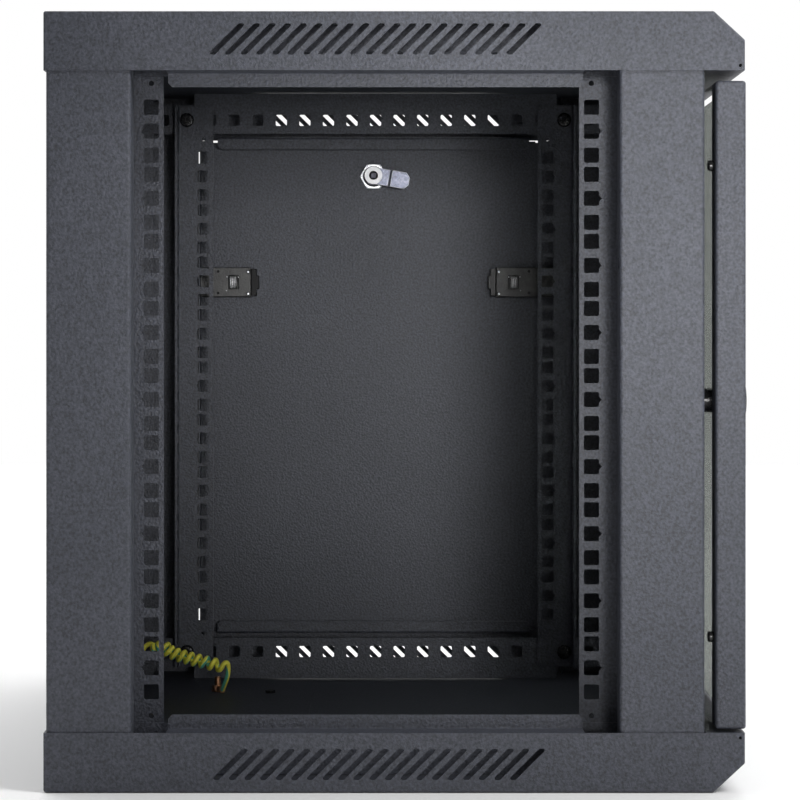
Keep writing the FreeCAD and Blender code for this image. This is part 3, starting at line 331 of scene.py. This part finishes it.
# %% Metals and plastics
# name: dark tone, light tone, patch, roughness, grain, depth, metallic, speckle
recipes = {
    "bright_zinc": ((0.15, 0.16, 0.21), (0.26, 0.27, 0.33), 260, 0.42, 700, 0.00012, 0.7, 0.3),
    # A near-white metal, much brighter than the zinc: a painted highlight on the lock's rims, nut
    # and rivet heads, laid over the metal's own brightness.
    "bright_rim": ((0.80, 0.81, 0.86), (0.92, 0.93, 0.96), 160, 0.36, 700, 0.00005, 0.4),
    "bright_wire": ((0.78, 0.78, 0.80), (0.90, 0.90, 0.92), 160, 0.45, 700, 0.00005, 0.2),
    "dull_steel": ((0.07, 0.07, 0.09), (0.13, 0.13, 0.16), 600, 0.5, 900, 0.0001, 0.5),
    "spring_steel": ((0.60, 0.60, 0.61), (0.72, 0.72, 0.72), 300, 0.3, 900, 0.00005, 1.0),
    "copper": ((0.62, 0.30, 0.16), (0.80, 0.44, 0.26), 260, 0.3, 800, 0.00008, 1.0),
    "latch_plastic": ((0.012, 0.012, 0.012), (0.034, 0.034, 0.033), 150, 0.42, 700, 0.0003,
                      0.0, 0.25),
    "handle_plastic": ((0.0025, 0.0025, 0.003), (0.005, 0.005, 0.006), 90, 0.3, 700, 0.00005),
    "washer_plastic": ((0.44, 0.44, 0.42), (0.52, 0.52, 0.50), 200, 0.5, 900, 0.00006),
    "foam": ((0.018, 0.018, 0.018), (0.032, 0.032, 0.032), 900, 0.85, 1500, 0.0004),
    # This black also paints shade: the lock nut's bore, the washer's dish, the rings round the
    # rivets, the hole discs and the frame round the latch window.
    "pin_black": ((0.003, 0.003, 0.004), (0.006, 0.006, 0.007), 300, 0.6, 900, 0.00005),
    "buffer_rubber": ((0.010, 0.010, 0.010), (0.016, 0.016, 0.016), 90, 0.25, 700, 0.00004),
    "black_steel": ((0.006, 0.006, 0.007), (0.012, 0.012, 0.014), 220, 0.26, 800, 0.00006),
    "tinted_glass": ((0.66, 0.70, 0.66), (0.70, 0.74, 0.70), 4, 0.09, 20, 0.00001),
    "wire_insulation": ((0.55, 0.52, 0.02), (0.68, 0.64, 0.04), 200, 0.35, 900, 0.00005),
}
for name, recipe in recipes.items():
    looks[name] = finish(name, *recipe)


def set_shader(look, socket, value):
    """Sets one value on a look's shader."""
    looks[look].node_tree.nodes["Principled BSDF"].inputs[socket].default_value = value


for look, mirror in (("handle_plastic", 0.12), ("pin_black", 0.12), ("black_steel", 0.35)):
    set_shader(look, "Specular IOR Level", mirror)
set_shader("tinted_glass", "Transmission Weight", 1.0)
print(len(looks), "looks")

# %% [markdown]
# ## Paint the CAD parts
# The record names a material slot for each CAD part. Most looks bear the name of their slot,
# and the others are matched here. Each part gets its look. The hand-made pieces are painted
# later, one by one.

# %% Put the finishes on the CAD parts
other_names = {"zinc": "bright_zinc", "black_screw": "black_steel", "glass": "tinted_glass"}
finish_of = {part["node"]: part["material_slot"] for part in frame["record"]["subparts"]}
for name, part in frame["nodes"].items():
    slot = finish_of[name]
    part.data.materials.clear()
    part.data.materials.append(looks[other_names.get(slot, slot)])
print("painted", len(frame["nodes"]), "parts")

# %% [markdown]
# ## Round edges
# No real edge is perfectly sharp. Its thin rounding catches the light, and it is what makes a
# piece look real. A bevel on every sharp edge does it, and weighted normals make the flat
# faces beside it look flat. Both are modifiers, and they are applied at once, so each piece
# is a plain mesh in the end.

# %% Helpers for round edges
sharp_angle, smooth_angle = 35, 40


def only(piece):
    """Selects one piece and nothing else, and makes it active."""
    bpy.ops.object.select_all(action="DESELECT")
    piece.select_set(True)
    bpy.context.view_layer.objects.active = piece


def apply_all(piece):
    """Works all the piece's modifiers into its mesh."""
    only(piece)
    for modifier in list(piece.modifiers):
        bpy.ops.object.modifier_apply(modifier=modifier.name)


def round_edges(piece, width, segments=2, rim=-1):
    """Narrow round edges and clean shading. The rim is the material slot of the new edges."""
    bevel = piece.modifiers.new("edges", "BEVEL")
    bevel.material = rim
    bevel.width = width
    bevel.segments = segments
    bevel.limit_method = "ANGLE"
    bevel.angle_limit = math.radians(sharp_angle)
    weighted = piece.modifiers.new("normals", "WEIGHTED_NORMAL")
    weighted.keep_sharp = True
    only(piece)
    bpy.ops.object.shade_smooth_by_angle(angle=math.radians(smooth_angle))
    apply_all(piece)


print("round edges ready")

# %% [markdown]
# ## Folded sheet with soft edges
# On a folded sheet the fold has a radius, and the coat flows round the cut edge. A copy of
# the CAD part is merged into one clean mesh and gets the narrow bevel. Modelling the sheets
# again would only repeat what the CAD part has already.

# %% Soft edges on the sheets
merge_distance, flat_angle = 0.000005, 1
sheet_edge, small_edge = 0.00035, 0.0002


def soften(node, width, segments=2):
    """A copy of a CAD part with narrow round edges, in the part's own place."""
    piece = bpy.data.objects.new(node + "_soft", frame["nodes"][node].data.copy())
    scene.collection.objects.link(piece)
    only(piece)
    bpy.ops.object.mode_set(mode="EDIT")
    bpy.ops.mesh.select_all(action="SELECT")
    bpy.ops.mesh.remove_doubles(threshold=merge_distance)
    bpy.ops.mesh.dissolve_limited(angle_limit=math.radians(flat_angle))
    bpy.ops.object.mode_set(mode="OBJECT")
    if piece.data.has_custom_normals:
        bpy.ops.mesh.customdata_custom_splitnormals_clear()
    round_edges(piece, width, segments)
    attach(piece, frame["nodes"][node]["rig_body"])
    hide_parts(node)
    return piece


sheets = [soften(name, sheet_edge) for name, slot in finish_of.items() if slot == "powder_coat"]
face_count = sum(len(sheet.data.polygons) for sheet in sheets)
print("softened", len(sheets), "sheets,", face_count, "faces")

# %% [markdown]
# ## The earth wire's route
# A yellow and green wire joins the rear panel to the floor, so that a fault can't leave the
# sheets live. Its middle is wound into a tight curl, so that it can stretch. The route is
# drawn first, as one smooth curve without the curl. The points along that curve tell where
# the curl's axis runs.

# %% The wire's route
wire_diameter = 0.0039
rear_mouth, floor_mouth = (0.160, -0.0041, -0.2247), (0.1575, -0.08555, -0.2464)
coil_rear, coil_front = (0.150, -0.0434, -0.2157), (0.150, -0.0857, -0.2267)
curl_start, curl_end = (0.1530, -0.0285, -0.2135), (0.1500, -0.0825, -0.2259)
rear_turns = [(0.1592, -0.0090, -0.2166), (0.1560, -0.0205, -0.2154),
              (0.1525, -0.0320, -0.2132), (0.1505, -0.0384, -0.2096)]
front_turns = [(0.1500, -0.0906, -0.2246), (0.1504, -0.0924, -0.2320), (0.1515, -0.0898, -0.2406)]


def smooth_line(name, points):
    """A curve object with one smooth spline whose control points are given."""
    curve = bpy.data.curves.new(name, "CURVE")
    curve.dimensions = "3D"
    spline = curve.splines.new("NURBS")
    spline.points.add(len(points) - 1)
    for point, place in zip(spline.points, points):
        point.co = (*place, 1)
    spline.order_u = 3
    spline.use_endpoint_u = True
    spline.resolution_u = 12
    line = bpy.data.objects.new(name, curve)
    scene.collection.objects.link(line)
    return line


def line_points(line):
    """The points along a curve object, in order."""
    bpy.context.view_layer.update()
    mesh = bpy.data.meshes.new_from_object(line)
    return [vertex.co.copy() for vertex in mesh.vertices]


def nearest(points, place):
    """The number of the point that lies nearest to a place."""
    return min(range(len(points)), key=lambda i: (points[i] - Vector(place)).length)


route = smooth_line("wire_route", [rear_mouth, *rear_turns, coil_rear, coil_front, *front_turns,
                                   floor_mouth])
along = line_points(route)
axis = along[nearest(along, curl_start):nearest(along, curl_end) + 1]
steps = [(b - a).length for a, b in zip(axis, axis[1:])]
bpy.data.objects.remove(route)
print("curl axis", round(sum(steps) * 1000, 1), "mm long")

# %% [markdown]
# ## The curl
# The curl's turns lie close at the rear end and open a little towards the front. They could
# come from a Screw modifier, but its axis would be straight. Here points are set round the
# bent axis one after the other, and they are control points of the wire's one spline. A few
# more points lead it from the last turn down to the floor.

# %% The curl
curl_radius = 0.00395 / 0.985
curl_turns, points_per_turn = 10, 16
even_share, opening_share = 0.72, 0.28
entry_length, entry_rise, turn_rise = 0.007, 0.0045, 0.0060
last_bend = [(0.1464, -0.0848, -0.2287), (0.1464, -0.0876, -0.2226), (0.1476, -0.0907, -0.2230),
             (0.1492, -0.0910, -0.2300), (0.1508, -0.0893, -0.2375)]


def on_axis(distance):
    """The point and the direction of the curl's axis at a distance from its start."""
    for a, b, step in zip(axis, axis[1:], steps):
        if distance <= step:
            return a.lerp(b, distance / step), (b - a).normalized()
        distance -= step
    return axis[-1].copy(), (axis[-1] - axis[-2]).normalized()


def curl():
    """The control points of the curl: tight at its start, and more open at its end."""
    first, ahead = on_axis(0)
    beside = first + Vector((curl_radius, 0, 0))
    points = [beside - ahead * entry_length + Vector((0, 0, entry_rise)),
              beside + Vector((0, 0, turn_rise))]
    count = curl_turns * points_per_turn + points_per_turn // 4
    for i in range(count + 1):
        share = i / count
        distance = sum(steps) * (even_share * share + opening_share * share * share)
        centre, ahead = on_axis(distance)
        across = Vector((1, 0, 0))
        down = ahead.cross(across).normalized()
        if down.z > 0:
            down = -down
        angle = 2 * math.pi * i / points_per_turn
        spoke = across * math.cos(angle) + down * math.sin(angle)
        points.append(centre + spoke * curl_radius)
    return points


wire = smooth_line("earth_wire", [rear_mouth, *rear_turns[:2], *curl(), *last_bend, floor_mouth])
path = line_points(wire)

# %% [markdown]
# ## The striped insulation
# The insulation has one broad yellow stripe and a narrower green one. They run along the
# wire, so the pattern has to follow it, and the object's own coordinates can't. The tube's
# UV map can: its V runs once round the wire and its U runs along it. A colour ramp on V
# draws the stripes. A little is added to V along the front part of the wire, so that the
# stripes turn to the other side there, as on a wire that was twisted as it was bent.

# %% The striped insulation
yellow, green = (0.95, 0.88, 0.10, 1), (0.12, 0.52, 0.38, 1)
stripe_edges = ((0.56, yellow), (0.60, green), (0.95, green))
twist_start, twist_end, twist = 0.76, 0.92, 0.9
stripe_turn = 0.95

stripes, tree, shader = new_material("striped_insulation")
around = tree.nodes.new("ShaderNodeUVMap")
parts = tree.nodes.new("ShaderNodeSeparateXYZ")
tree.links.new(around.outputs["UV"], parts.inputs["Vector"])
drift = stretch(tree, parts.outputs["X"], 0.0, twist, twist_start, twist_end, "SMOOTHSTEP")
whole = tree.nodes.new("ShaderNodeMath")
whole.operation = "FRACT"
tree.links.new(add(tree, add(tree, parts.outputs["Y"], drift), stripe_turn), whole.inputs[0])
bands = tree.nodes.new("ShaderNodeValToRGB")
bands.color_ramp.interpolation = "LINEAR"
for element in bands.color_ramp.elements:
    element.color = yellow
for at, colour in stripe_edges:
    bands.color_ramp.elements.new(at).color = colour
tree.links.new(whole.outputs["Value"], bands.inputs["Fac"])
tree.links.new(bands.outputs["Color"], shader.inputs["Base Color"])
coords = tree.nodes.new("ShaderNodeTexCoord")
emboss(tree, shader, noise(tree, coords, scale=1800, detail=2), strength=0.25, depth=0.00006)
shader.inputs["Roughness"].default_value = 0.38
print(stripes.name)

# %% [markdown]
# ## The wire's body
# The curve is given its thickness and becomes a mesh tube. Z_UP keeps the tube from turning
# about its own length, so the stripes stay where they are put. The CAD wire is hidden, and the
# two ring terminals get round edges.

# %% The wire's body
wire.data.twist_mode = "Z_UP"
wire.data.bevel_depth = wire_diameter / 2
wire.data.bevel_resolution = 5
wire.data.use_fill_caps = True
only(wire)
bpy.ops.object.convert(target="MESH")
wire = bpy.context.object
wire.data.materials.clear()
wire.data.materials.append(stripes)
bpy.ops.object.shade_smooth()
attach(wire, "cabinet")
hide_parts("earth_wire_coil", "earth_wire_front", "earth_wire_rear")
terminals = soften("earth_terminals", small_edge)
print("wire", len(wire.data.polygons), "faces")

# %% [markdown]
# ## Hand modelling
# The small parts are modelled from primitives: a block or a drum at the right size, then
# cuts, bevels and moved points. These helpers keep each step short. A piece's place ends up
# in its mesh, and its object stays at the origin.

# %% Helpers for blocks and drums


def settle(piece, name):
    """Puts the piece's place, turn and size into its mesh."""
    piece.name = name
    only(piece)
    bpy.ops.object.transform_apply(location=True, rotation=True, scale=True)
    return piece


def block(name, low, high):
    """A block between two corners."""
    bpy.ops.object.select_all(action="DESELECT")
    centre = [(a + b) / 2 for a, b in zip(low, high)]
    bpy.ops.mesh.primitive_cube_add(size=1, location=centre)
    bpy.context.object.scale = [b - a for a, b in zip(low, high)]
    return settle(bpy.context.object, name)


def drum(name, centre, radius, depth, sides=48, top=None):
    """A drum or cone whose axis is X. The cone's top is its -X end."""
    bpy.ops.object.select_all(action="DESELECT")
    bpy.ops.mesh.primitive_cone_add(
        vertices=sides, radius1=radius, radius2=radius if top is None else top, depth=depth,
        location=centre, rotation=(0, math.radians(-90), 0))
    return settle(bpy.context.object, name)


print("blocks and drums ready")

# %% [markdown]
# ## Helpers for cutting and shaping
# A learner would click a face or an edge to select it. A script has to say which one it
# means, so pick() asks a test about each of them: faces by their middle and facing, edges
# and points by where they lie.

# %% Helpers for cutting and shaping


def pick(piece, test, kind="FACE"):
    """Goes into edit mode with the faces, edges or points that pass the test selected."""
    only(piece)
    bpy.ops.object.mode_set(mode="EDIT")
    bpy.ops.mesh.select_mode(type=kind)
    bpy.ops.mesh.select_all(action="DESELECT")
    bpy.ops.object.mode_set(mode="OBJECT")
    points = piece.data.vertices
    if kind == "FACE":
        for face in piece.data.polygons:
            face.select = test(face.center, face.normal)
    elif kind == "EDGE":
        for edge in piece.data.edges:
            edge.select = all(test(points[i].co) for i in edge.vertices)
    else:
        for point in points:
            point.select = test(point.co)
    bpy.ops.object.mode_set(mode="EDIT")


def leave():
    """Goes back to object mode."""
    bpy.ops.object.mode_set(mode="OBJECT")


def faces_front(centre, facing):
    """A test that only the faces towards -X pass."""
    return facing.x < -0.9


def slice_at(piece, point, normal):
    """Cuts the piece's faces along a plane and keeps both sides."""
    pick(piece, lambda centre, facing: True)
    bpy.ops.mesh.bisect(plane_co=point, plane_no=normal)
    leave()


def carve(piece, cutter, operation="DIFFERENCE"):
    """Cuts one piece with another, which is then removed."""
    modifier = piece.modifiers.new("carve", "BOOLEAN")
    modifier.operation = operation
    modifier.solver = "EXACT"
    modifier.object = cutter
    apply_all(piece)
    bpy.data.objects.remove(cutter)


print("cutting helpers ready")

# %% [markdown]
# ## Helpers for placing and painting
# A piece that is modelled round the origin is turned and moved to its place, joined with
# others where they are one part, painted, and tied to the body that it moves with.

# %% Helpers for placing and painting


def place_at(piece, place, turn=0.0):
    """Turns a piece about X, moves it to its place and puts both into its mesh."""
    piece.rotation_euler = (turn, 0, 0)
    piece.location = place
    return settle(piece, piece.name)


def join(name, pieces):
    """Makes one piece of several."""
    bpy.ops.object.select_all(action="DESELECT")
    for piece in pieces:
        piece.select_set(True)
    bpy.context.view_layer.objects.active = pieces[0]
    bpy.ops.object.join()
    return settle(bpy.context.object, name)


def paint(piece, *names):
    """Gives a piece these looks in place of those that it has."""
    piece.data.materials.clear()
    for name in names:
        piece.data.materials.append(looks[name])
    return piece


def paint_shade_inside(piece, radius, limit):
    """Gives the second look, a painted shade, to the faces within a radius that don't face past a
    limit.
    """
    for face in piece.data.polygons:
        reach = max(piece.data.vertices[i].co.yz.length for i in face.vertices)
        if reach < radius and face.normal.x < limit:
            face.material_index = 1


def dress(piece, body, slot, *nodes):
    """Ties a finished piece to its body and hides the CAD parts it stands for. The slot is not
    used.
    """
    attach(piece, body)
    if nodes:
        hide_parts(*nodes)
    return piece


print("placing helpers ready")

# %% [markdown]
# ## The side lock's nut
# A cam lock is turned from outside with a key, and its arm then hides behind the frame.
# Inside, a hexagon nut clamps the lock's barrel to the panel. A drum with six sides is the
# hexagon. It is cut with a cone, which rounds off its six corners as on a turned nut, and
# then bored and countersunk. The faces of the bore are painted black, a painted shade in the
# recess, and the nut round it is painted near-white, a painted highlight on its bright metal.

# %% The nut
nut_low, nut_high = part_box("side_lock_nut")
lock_y, lock_z = (nut_low.y + nut_high.y) / 2, (nut_low.z + nut_high.z) / 2
nut_depth = nut_high.x - nut_low.x
nut_radius, nut_chamfer, nut_face = 0.0118, 0.0136, 0.0108
bore, sink, sink_depth, sink_offset = 0.0080, 0.0096, 0.0028, 0.0004
chamfer_depth, bore_depth = nut_depth * 1.01, nut_depth * 1.2
nut_edge, nut_shade_reach = 0.00025, 0.00975

nut = drum("side_lock_hex_nut", (0, 0, 0), nut_radius, nut_depth, sides=6)
carve(nut, drum("chamfer", (0, 0, 0), nut_chamfer, chamfer_depth, top=nut_face), "INTERSECT")
carve(nut, drum("bore", (0, 0, 0), bore, bore_depth))
carve(nut, drum("countersink", (sink_offset - nut_depth / 2, 0, 0), bore, sink_depth, top=sink))
round_edges(nut, nut_edge)
# The nut gets a near-white painted highlight, and its bore and countersink get black painted
# shade.
paint(nut, "bright_rim", "pin_black")
paint_shade_inside(nut, nut_shade_reach, limit=0.9)
place_at(nut, ((nut_low.x + nut_high.x) / 2, lock_y, lock_z))
dress(nut, "cabinet", "zinc", "side_lock_nut")
print("nut", nut_low[:], nut_high[:])

# %% [markdown]
# ## The side lock's arm
# The arm is a flat strip with a step in it, so that it clears the frame's lip. It could be
# bent from a strip, but cutting is simpler: a block gets three cuts across and one along,
# and the points beyond the step are moved towards the viewer. The points at its tip are
# drawn together, which makes it pointed. The two corners at its back are rounded. New edges
# get a near-white look, a painted highlight along the rims, and the whole arm hangs 10 degrees out
# of level.

# %% The arm
cam_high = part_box("side_lock_cam")[1]
arm_thick, arm_half, arm_reach = 0.002, 0.0072, 0.0314
step_start, step_end, step_height = -0.0137, -0.0155, 0.003
tip_length, tip_share = 0.0037, 0.45
corner_radius, arm_edge = 0.0064, 0.00045
near, off_middle = 0.0001, 0.001
lock_turn = math.radians(10)

arm = block("side_lock_arm", (0, -arm_reach, -arm_half), (arm_thick, arm_half, arm_half))
for cut in (step_start, step_end, tip_length - arm_reach):
    slice_at(arm, (0, cut, 0), (0, 1, 0))
slice_at(arm, (0, 0, 0), (0, 0, 1))
pick(arm, lambda point: point.y < step_end + near, "VERT")
bpy.ops.transform.translate(value=(-step_height, 0, 0))
leave()
pick(arm, lambda point: point.y < near - arm_reach and abs(point.z) > off_middle, "VERT")
bpy.ops.transform.resize(value=(1, 1, tip_share), center_override=(0, 0, 0))
leave()
for side in (1, -1):
    pick(arm, lambda point: point.y > arm_half - near and side * point.z > off_middle, "EDGE")
    bpy.ops.mesh.bevel(offset=corner_radius, segments=8)
    leave()
# The arm's new bevelled edges get the near-white look, a painted highlight along its rims.
paint(arm, "bright_zinc", "bright_rim")
round_edges(arm, arm_edge, 3, rim=1)
place_at(arm, (cam_high.x - arm_thick, lock_y, lock_z), lock_turn)
dress(arm, "side_lock", "zinc", "side_lock_cam")
print("arm", len(arm.data.polygons), "faces")

# %% [markdown]
# ## The dished washer and the plug's end
# A washer with a dished middle holds the arm, and the square end of the plug stands in it.
# The washer is a thin drum whose front face is inset twice: once flat, for its rim, and once
# inwards, for the dish. The square is a small block with very round edges.

# %% The dished washer and the plug's square end
screw_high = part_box("side_lock_cam_screw")[1]
disc_radius, disc_depth = 0.0077, 0.0014
dish_radius, dish_slope, dish_depth = 0.0038, 0.0002, 0.0011
square_half, square_front, square_back = 0.0024, -0.0010, 0.0006
disc_edge, square_edge = 0.00028, 0.0007

disc = drum("side_lock_washer", (0, 0, 0), disc_radius, disc_depth, sides=64)
pick(disc, faces_front)
bpy.ops.mesh.inset(thickness=disc_radius - dish_radius, depth=0)
bpy.ops.mesh.inset(thickness=dish_slope, depth=-dish_depth)
leave()
round_edges(disc, disc_edge, 3)
# The dish is painted black: painted shade in the hollow round the plug's square end.
paint(disc, "bright_wire", "pin_black")
paint_shade_inside(disc, dish_radius, limit=0.5)
square = block("square", (square_front, -square_half, -square_half),
               (square_back, square_half, square_half))
round_edges(square, square_edge, 3)
paint(square, "dull_steel")
disc = join("side_lock_washer", [disc, square])
place_at(disc, (screw_high.x - disc_depth / 2, lock_y, lock_z), lock_turn)
dress(disc, "side_lock", "zinc", "side_lock_cam_screw")
print("washer", len(disc.data.polygons), "faces")

# %% [markdown]
# ## Close-wound springs
# A spring behind a small window pushes each latch's bolt out. A spring could be a curve
# drawn round and round. The Screw modifier is quicker: it turns one ring of points about an
# axis and moves it on with each turn. The wire's ring is made once, wound, and cleaned.

# %% A close-wound spring
ring_points, steps_per_turn, weld_distance = 10, 32, 0.000002


def coil(name, centre, radius, wire, pitch, turns):
    """A round wire wound about the Y direction. Screw turns one ring of points into it."""
    bpy.ops.object.select_all(action="DESELECT")
    bpy.ops.mesh.primitive_circle_add(
        vertices=ring_points, radius=wire / 2, fill_type="NGON", location=(0, 0, radius),
        rotation=(0, math.radians(90), 0))
    ring = settle(bpy.context.object, name)
    screw = ring.modifiers.new("winding", "SCREW")
    screw.axis = "Y"
    screw.screw_offset = pitch
    screw.iterations = turns
    screw.steps = screw.render_steps = steps_per_turn
    screw.use_normal_calculate = True
    apply_all(ring)
    bpy.ops.object.shade_smooth()
    bpy.ops.object.mode_set(mode="EDIT")
    bpy.ops.mesh.select_all(action="SELECT")
    bpy.ops.mesh.remove_doubles(threshold=weld_distance)
    bpy.ops.mesh.normals_make_consistent(inside=False)
    leave()
    ring.location = (centre[0], centre[1] - pitch * turns / 2, centre[2])
    return settle(ring, name)


latch_wire, latch_turns, latch_travel = 0.0011, 8, 0.006
for latch, fixed_y in (("latch_rear", -0.0944), ("latch_front", -0.3216)):
    low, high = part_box(latch + "_spring")
    pitch = (high.y - low.y - latch_wire) / latch_turns
    spring = coil(latch + "_close_spring", (low + high) / 2, (high.z - low.z - latch_wire) / 2,
                  latch_wire, pitch, latch_turns)
    paint(spring, "bright_wire")
    dress(spring, "cabinet", finish_of[latch + "_spring"], latch + "_spring")
    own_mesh(spring)
    print(latch, "spring", len(spring.data.polygons), "faces")

# %% [markdown]
# ## Rivet heads and pins
# Each latch is a grey plastic body with a black slide. Rivets sit at one end of it. A rivet's
# head is a short drum whose front edge is bevelled in four steps to a dome, and it stands in a
# thin dark ring, a painted shadow round the head. At the other end, flat dark cones are painted
# shade over shaded holes.

# %% Rivet heads and pins
dome_share, shadow_ring_share, hole_share = 0.45, 1.6, 0.9
head_depth, shadow_ring_depth, hole_depth = 0.0006, 0.00016, 0.0002


def bright_head(name, place, radius):
    """A domed head painted near-white, a painted highlight, whose back lies at the place."""
    x, y, z = place
    head = drum(name, (x - head_depth / 2, y, z), radius, head_depth, sides=28)
    pick(head, faces_front)
    bpy.ops.mesh.bevel(offset=radius * dome_share, segments=4)
    leave()
    only(head)
    bpy.ops.object.shade_smooth_by_angle(angle=math.radians(50))
    return paint(head, "bright_rim")


def dark_disc(name, place, radius, depth, sides, top):
    """A thin dark disc whose back lies at the place."""
    x, y, z = place
    return paint(drum(name, (x - depth / 2, y, z), radius, depth, sides, top), "pin_black")


def rivet(place, radius):
    """A head with a painted highlight, in a dark ring of painted shadow."""
    shadow_ring_radius = radius * shadow_ring_share
    return [dark_disc("ring", place, shadow_ring_radius, shadow_ring_depth, 28, shadow_ring_radius),
            bright_head("head", place, radius)]


def hole_shade_disc(place, radius):
    """A dark disc a little proud of the plastic: painted shade over a shaded hole."""
    return dark_disc("pin", place, radius, hole_depth, 24, radius * hole_share)


print("rivets ready")

# %% [markdown]
# ## The spring latches
# The bodies and slides keep their CAD shape, with round edges. What the CAD model leaves out
# is added here as one piece for each latch: two rivets at one end, two dark discs of painted
# shade at the other, three small pips with painted highlights, and a thin dark frame of painted
# shade round the spring's window. The front latch is the rear one's mirror image, so its places
# along Y change their sign.

# %% Rivets, shade discs and pips on the latches
latch_edge = 0.0004
rivet_radius, rivet_ahead, rivet_down, rivet_up = 0.0011, 0.0126, 0.0006, 0.0095
hole_radius, hole_behind, hole_up = 0.0012, 0.0133, 0.0093
pip_radius, pip_places = 0.00045, ((-0.0056, 0.0046), (0.0041, 0.0044), (-0.0062, -0.0073))
window_y, window_z, shade_frame_y, shade_frame_z = 0.0033, 0.0057, 0.0046, 0.0062
shade_frame_rise, cut_past = 0.0001, 0.001

for latch, ahead in (("latch_rear", -1), ("latch_front", 1)):
    soften(latch + "_housing", latch_edge)
    paint(soften(latch + "_bolt", latch_edge), "handle_plastic")
    low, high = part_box(latch + "_housing")
    spring_low, spring_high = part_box(latch + "_spring")
    y, z = (spring_low.y + spring_high.y) / 2, (low.z + high.z) / 2
    small = []
    for side in (1, -1):
        # Each rivet is a head with a painted highlight in a ring of painted shadow.
        small += rivet((low.x, y + ahead * rivet_ahead, z - rivet_down + side * rivet_up),
                       rivet_radius)
        # Two dark discs are painted shade where the body's holes lie in shadow.
        small.append(hole_shade_disc((low.x, y - ahead * hole_behind, z + side * hole_up), hole_radius))
    for along_y, up in pip_places:
        # The pips are small domes painted near-white, painted highlights.
        small.append(bright_head("pip", (low.x, y + ahead * along_y, z + up), pip_radius))
    # A thin black frame round the window is painted shade, the dark of the recess round the
    # spring.
    window_shade_frame = block("window_shade_frame", (low.x - shade_frame_rise, y - shade_frame_y, z - shade_frame_z),
                         (low.x + shade_frame_rise, y + shade_frame_y, z + shade_frame_z))
    carve(window_shade_frame, block("opening", (low.x - cut_past, y - window_y, z - window_z),
                              (low.x + cut_past, y + window_y, z + window_z)))
    small.append(paint(window_shade_frame, "pin_black"))
    rivets = join(latch + "_rivets", small)
    dress(rivets, "cabinet", "zinc")
    print(latch, "rivets", len(rivets.data.polygons), "faces")

# %% [markdown]
# ## Screws that hold the rails
# Eight black pan-head screws join the four rails to the depth bars. One is modelled: a drum
# with its front edge rounded over, a cross cut into it with two blocks, and a shank. It is
# then copied to the eight places, with its head turned to the inside of the cabinet.

# %% The pan-head screws
bolts_low, bolts_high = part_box("rail_bolts")
rail_sheet = 0.002
flange_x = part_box("rail_rear_right")[1].x - rail_sheet
shank_length = bolts_high.x - flange_x
head_radius, head_height, head_dome, shank_radius = 0.006, 0.0032, 0.62, 0.003
cross_half, cross_width, cross_depth = 0.0029, 0.0005, 0.0016


def pan_head(name):
    """A screw along X whose seat is at 0 and whose head points to -X."""
    head = drum(name, (-head_height / 2, 0, 0), head_radius, head_height, sides=40)
    pick(head, faces_front)
    bpy.ops.mesh.bevel(offset=head_height * head_dome, segments=5)
    leave()
    for half_y, half_z in ((cross_width, cross_half), (cross_half, cross_width)):
        carve(head, block("cross", (-head_height - cut_past, -half_y, -half_z),
                          (cross_depth - head_height, half_y, half_z)))
    shank = drum("shank", (shank_length / 2, 0, 0), shank_radius, shank_length, sides=28)
    screw = join(name, [head, shank])
    only(screw)
    bpy.ops.object.shade_smooth_by_angle(angle=math.radians(35))
    return screw


pattern = pan_head("pan_head_screw")
screws = []
for facing in (1, -1):
    for y in (bolts_low.y + head_radius, bolts_high.y - head_radius):
        for z in (bolts_low.z + head_radius, bolts_high.z - head_radius):
            screw = bpy.data.objects.new("screw", pattern.data.copy())
            scene.collection.objects.link(screw)
            screw.rotation_euler = (0, 0, 0 if facing > 0 else math.pi)
            screw.location = (facing * flange_x, y, z)
            screws.append(settle(screw, "screw"))
bpy.data.objects.remove(pattern)
rail_screws = paint(join("rail_screws", screws), "black_steel")
dress(rail_screws, "cabinet", finish_of["rail_bolts"], "rail_bolts")
print("screws", len(rail_screws.data.polygons), "faces")

# %% [markdown]
# ## The hinge pin's spring
# A thinner spring stands in the door's top hinge and pushes its pin up. It is wound as the
# latches' springs are, then turned upright.

# %% The hinge pin's spring
hinge_wire, hinge_turns, hinge_travel = 0.0008, 6, 0.008
low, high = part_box("hinge_pin_spring")
pitch = (high.z - low.z - hinge_wire) / hinge_turns
hinge_spring = coil("hinge_pin_close_spring", (0, 0, 0), (high.x - low.x - hinge_wire) / 2,
                    hinge_wire, pitch, hinge_turns)
hinge_spring.rotation_euler = (math.radians(90), 0, 0)
hinge_spring.location = (low + high) / 2
settle(hinge_spring, hinge_spring.name)
paint(hinge_spring, "spring_steel")
dress(hinge_spring, "door", finish_of["hinge_pin_spring"], "hinge_pin_spring")
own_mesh(hinge_spring)
print("hinge spring", len(hinge_spring.data.polygons), "faces")

# %% [markdown]
# ## Small parts that keep their shape
# Nuts, studs, clips, buffers, hinge parts and lock parts are right as they are. Each gets
# narrow round edges, wide ones on the rubber buffers, so that it has its thin highlights.
# The earth wire's studs and nuts have a coppery plating, so they are painted again.

# %% Round edges on the small parts
widths = {"door_buffers": 0.0013, "door_lock_barrel": 0.0006, "side_lock_barrel": 0.0005}
for node in ("rail_nuts", "earth_studs", "earth_nuts", "door_lock_nut", "door_lock_plug",
             "door_lock_cam", "door_lock_cam_screw", "side_lock_plug", "glass_clips",
             "glass_clip_nuts", "hinge_pin_top", "hinge_pin_bottom", "hinge_washer",
             "entry_plate_screws", "door_seal", "door_glass"):
    widths[node] = small_edge
small_parts = {node: soften(node, width, segments=4 if node == "door_buffers" else 2)
               for node, width in widths.items()}
for node in ("earth_studs", "earth_nuts"):
    paint(small_parts[node], "copper")
print("softened", len(small_parts), "small parts")
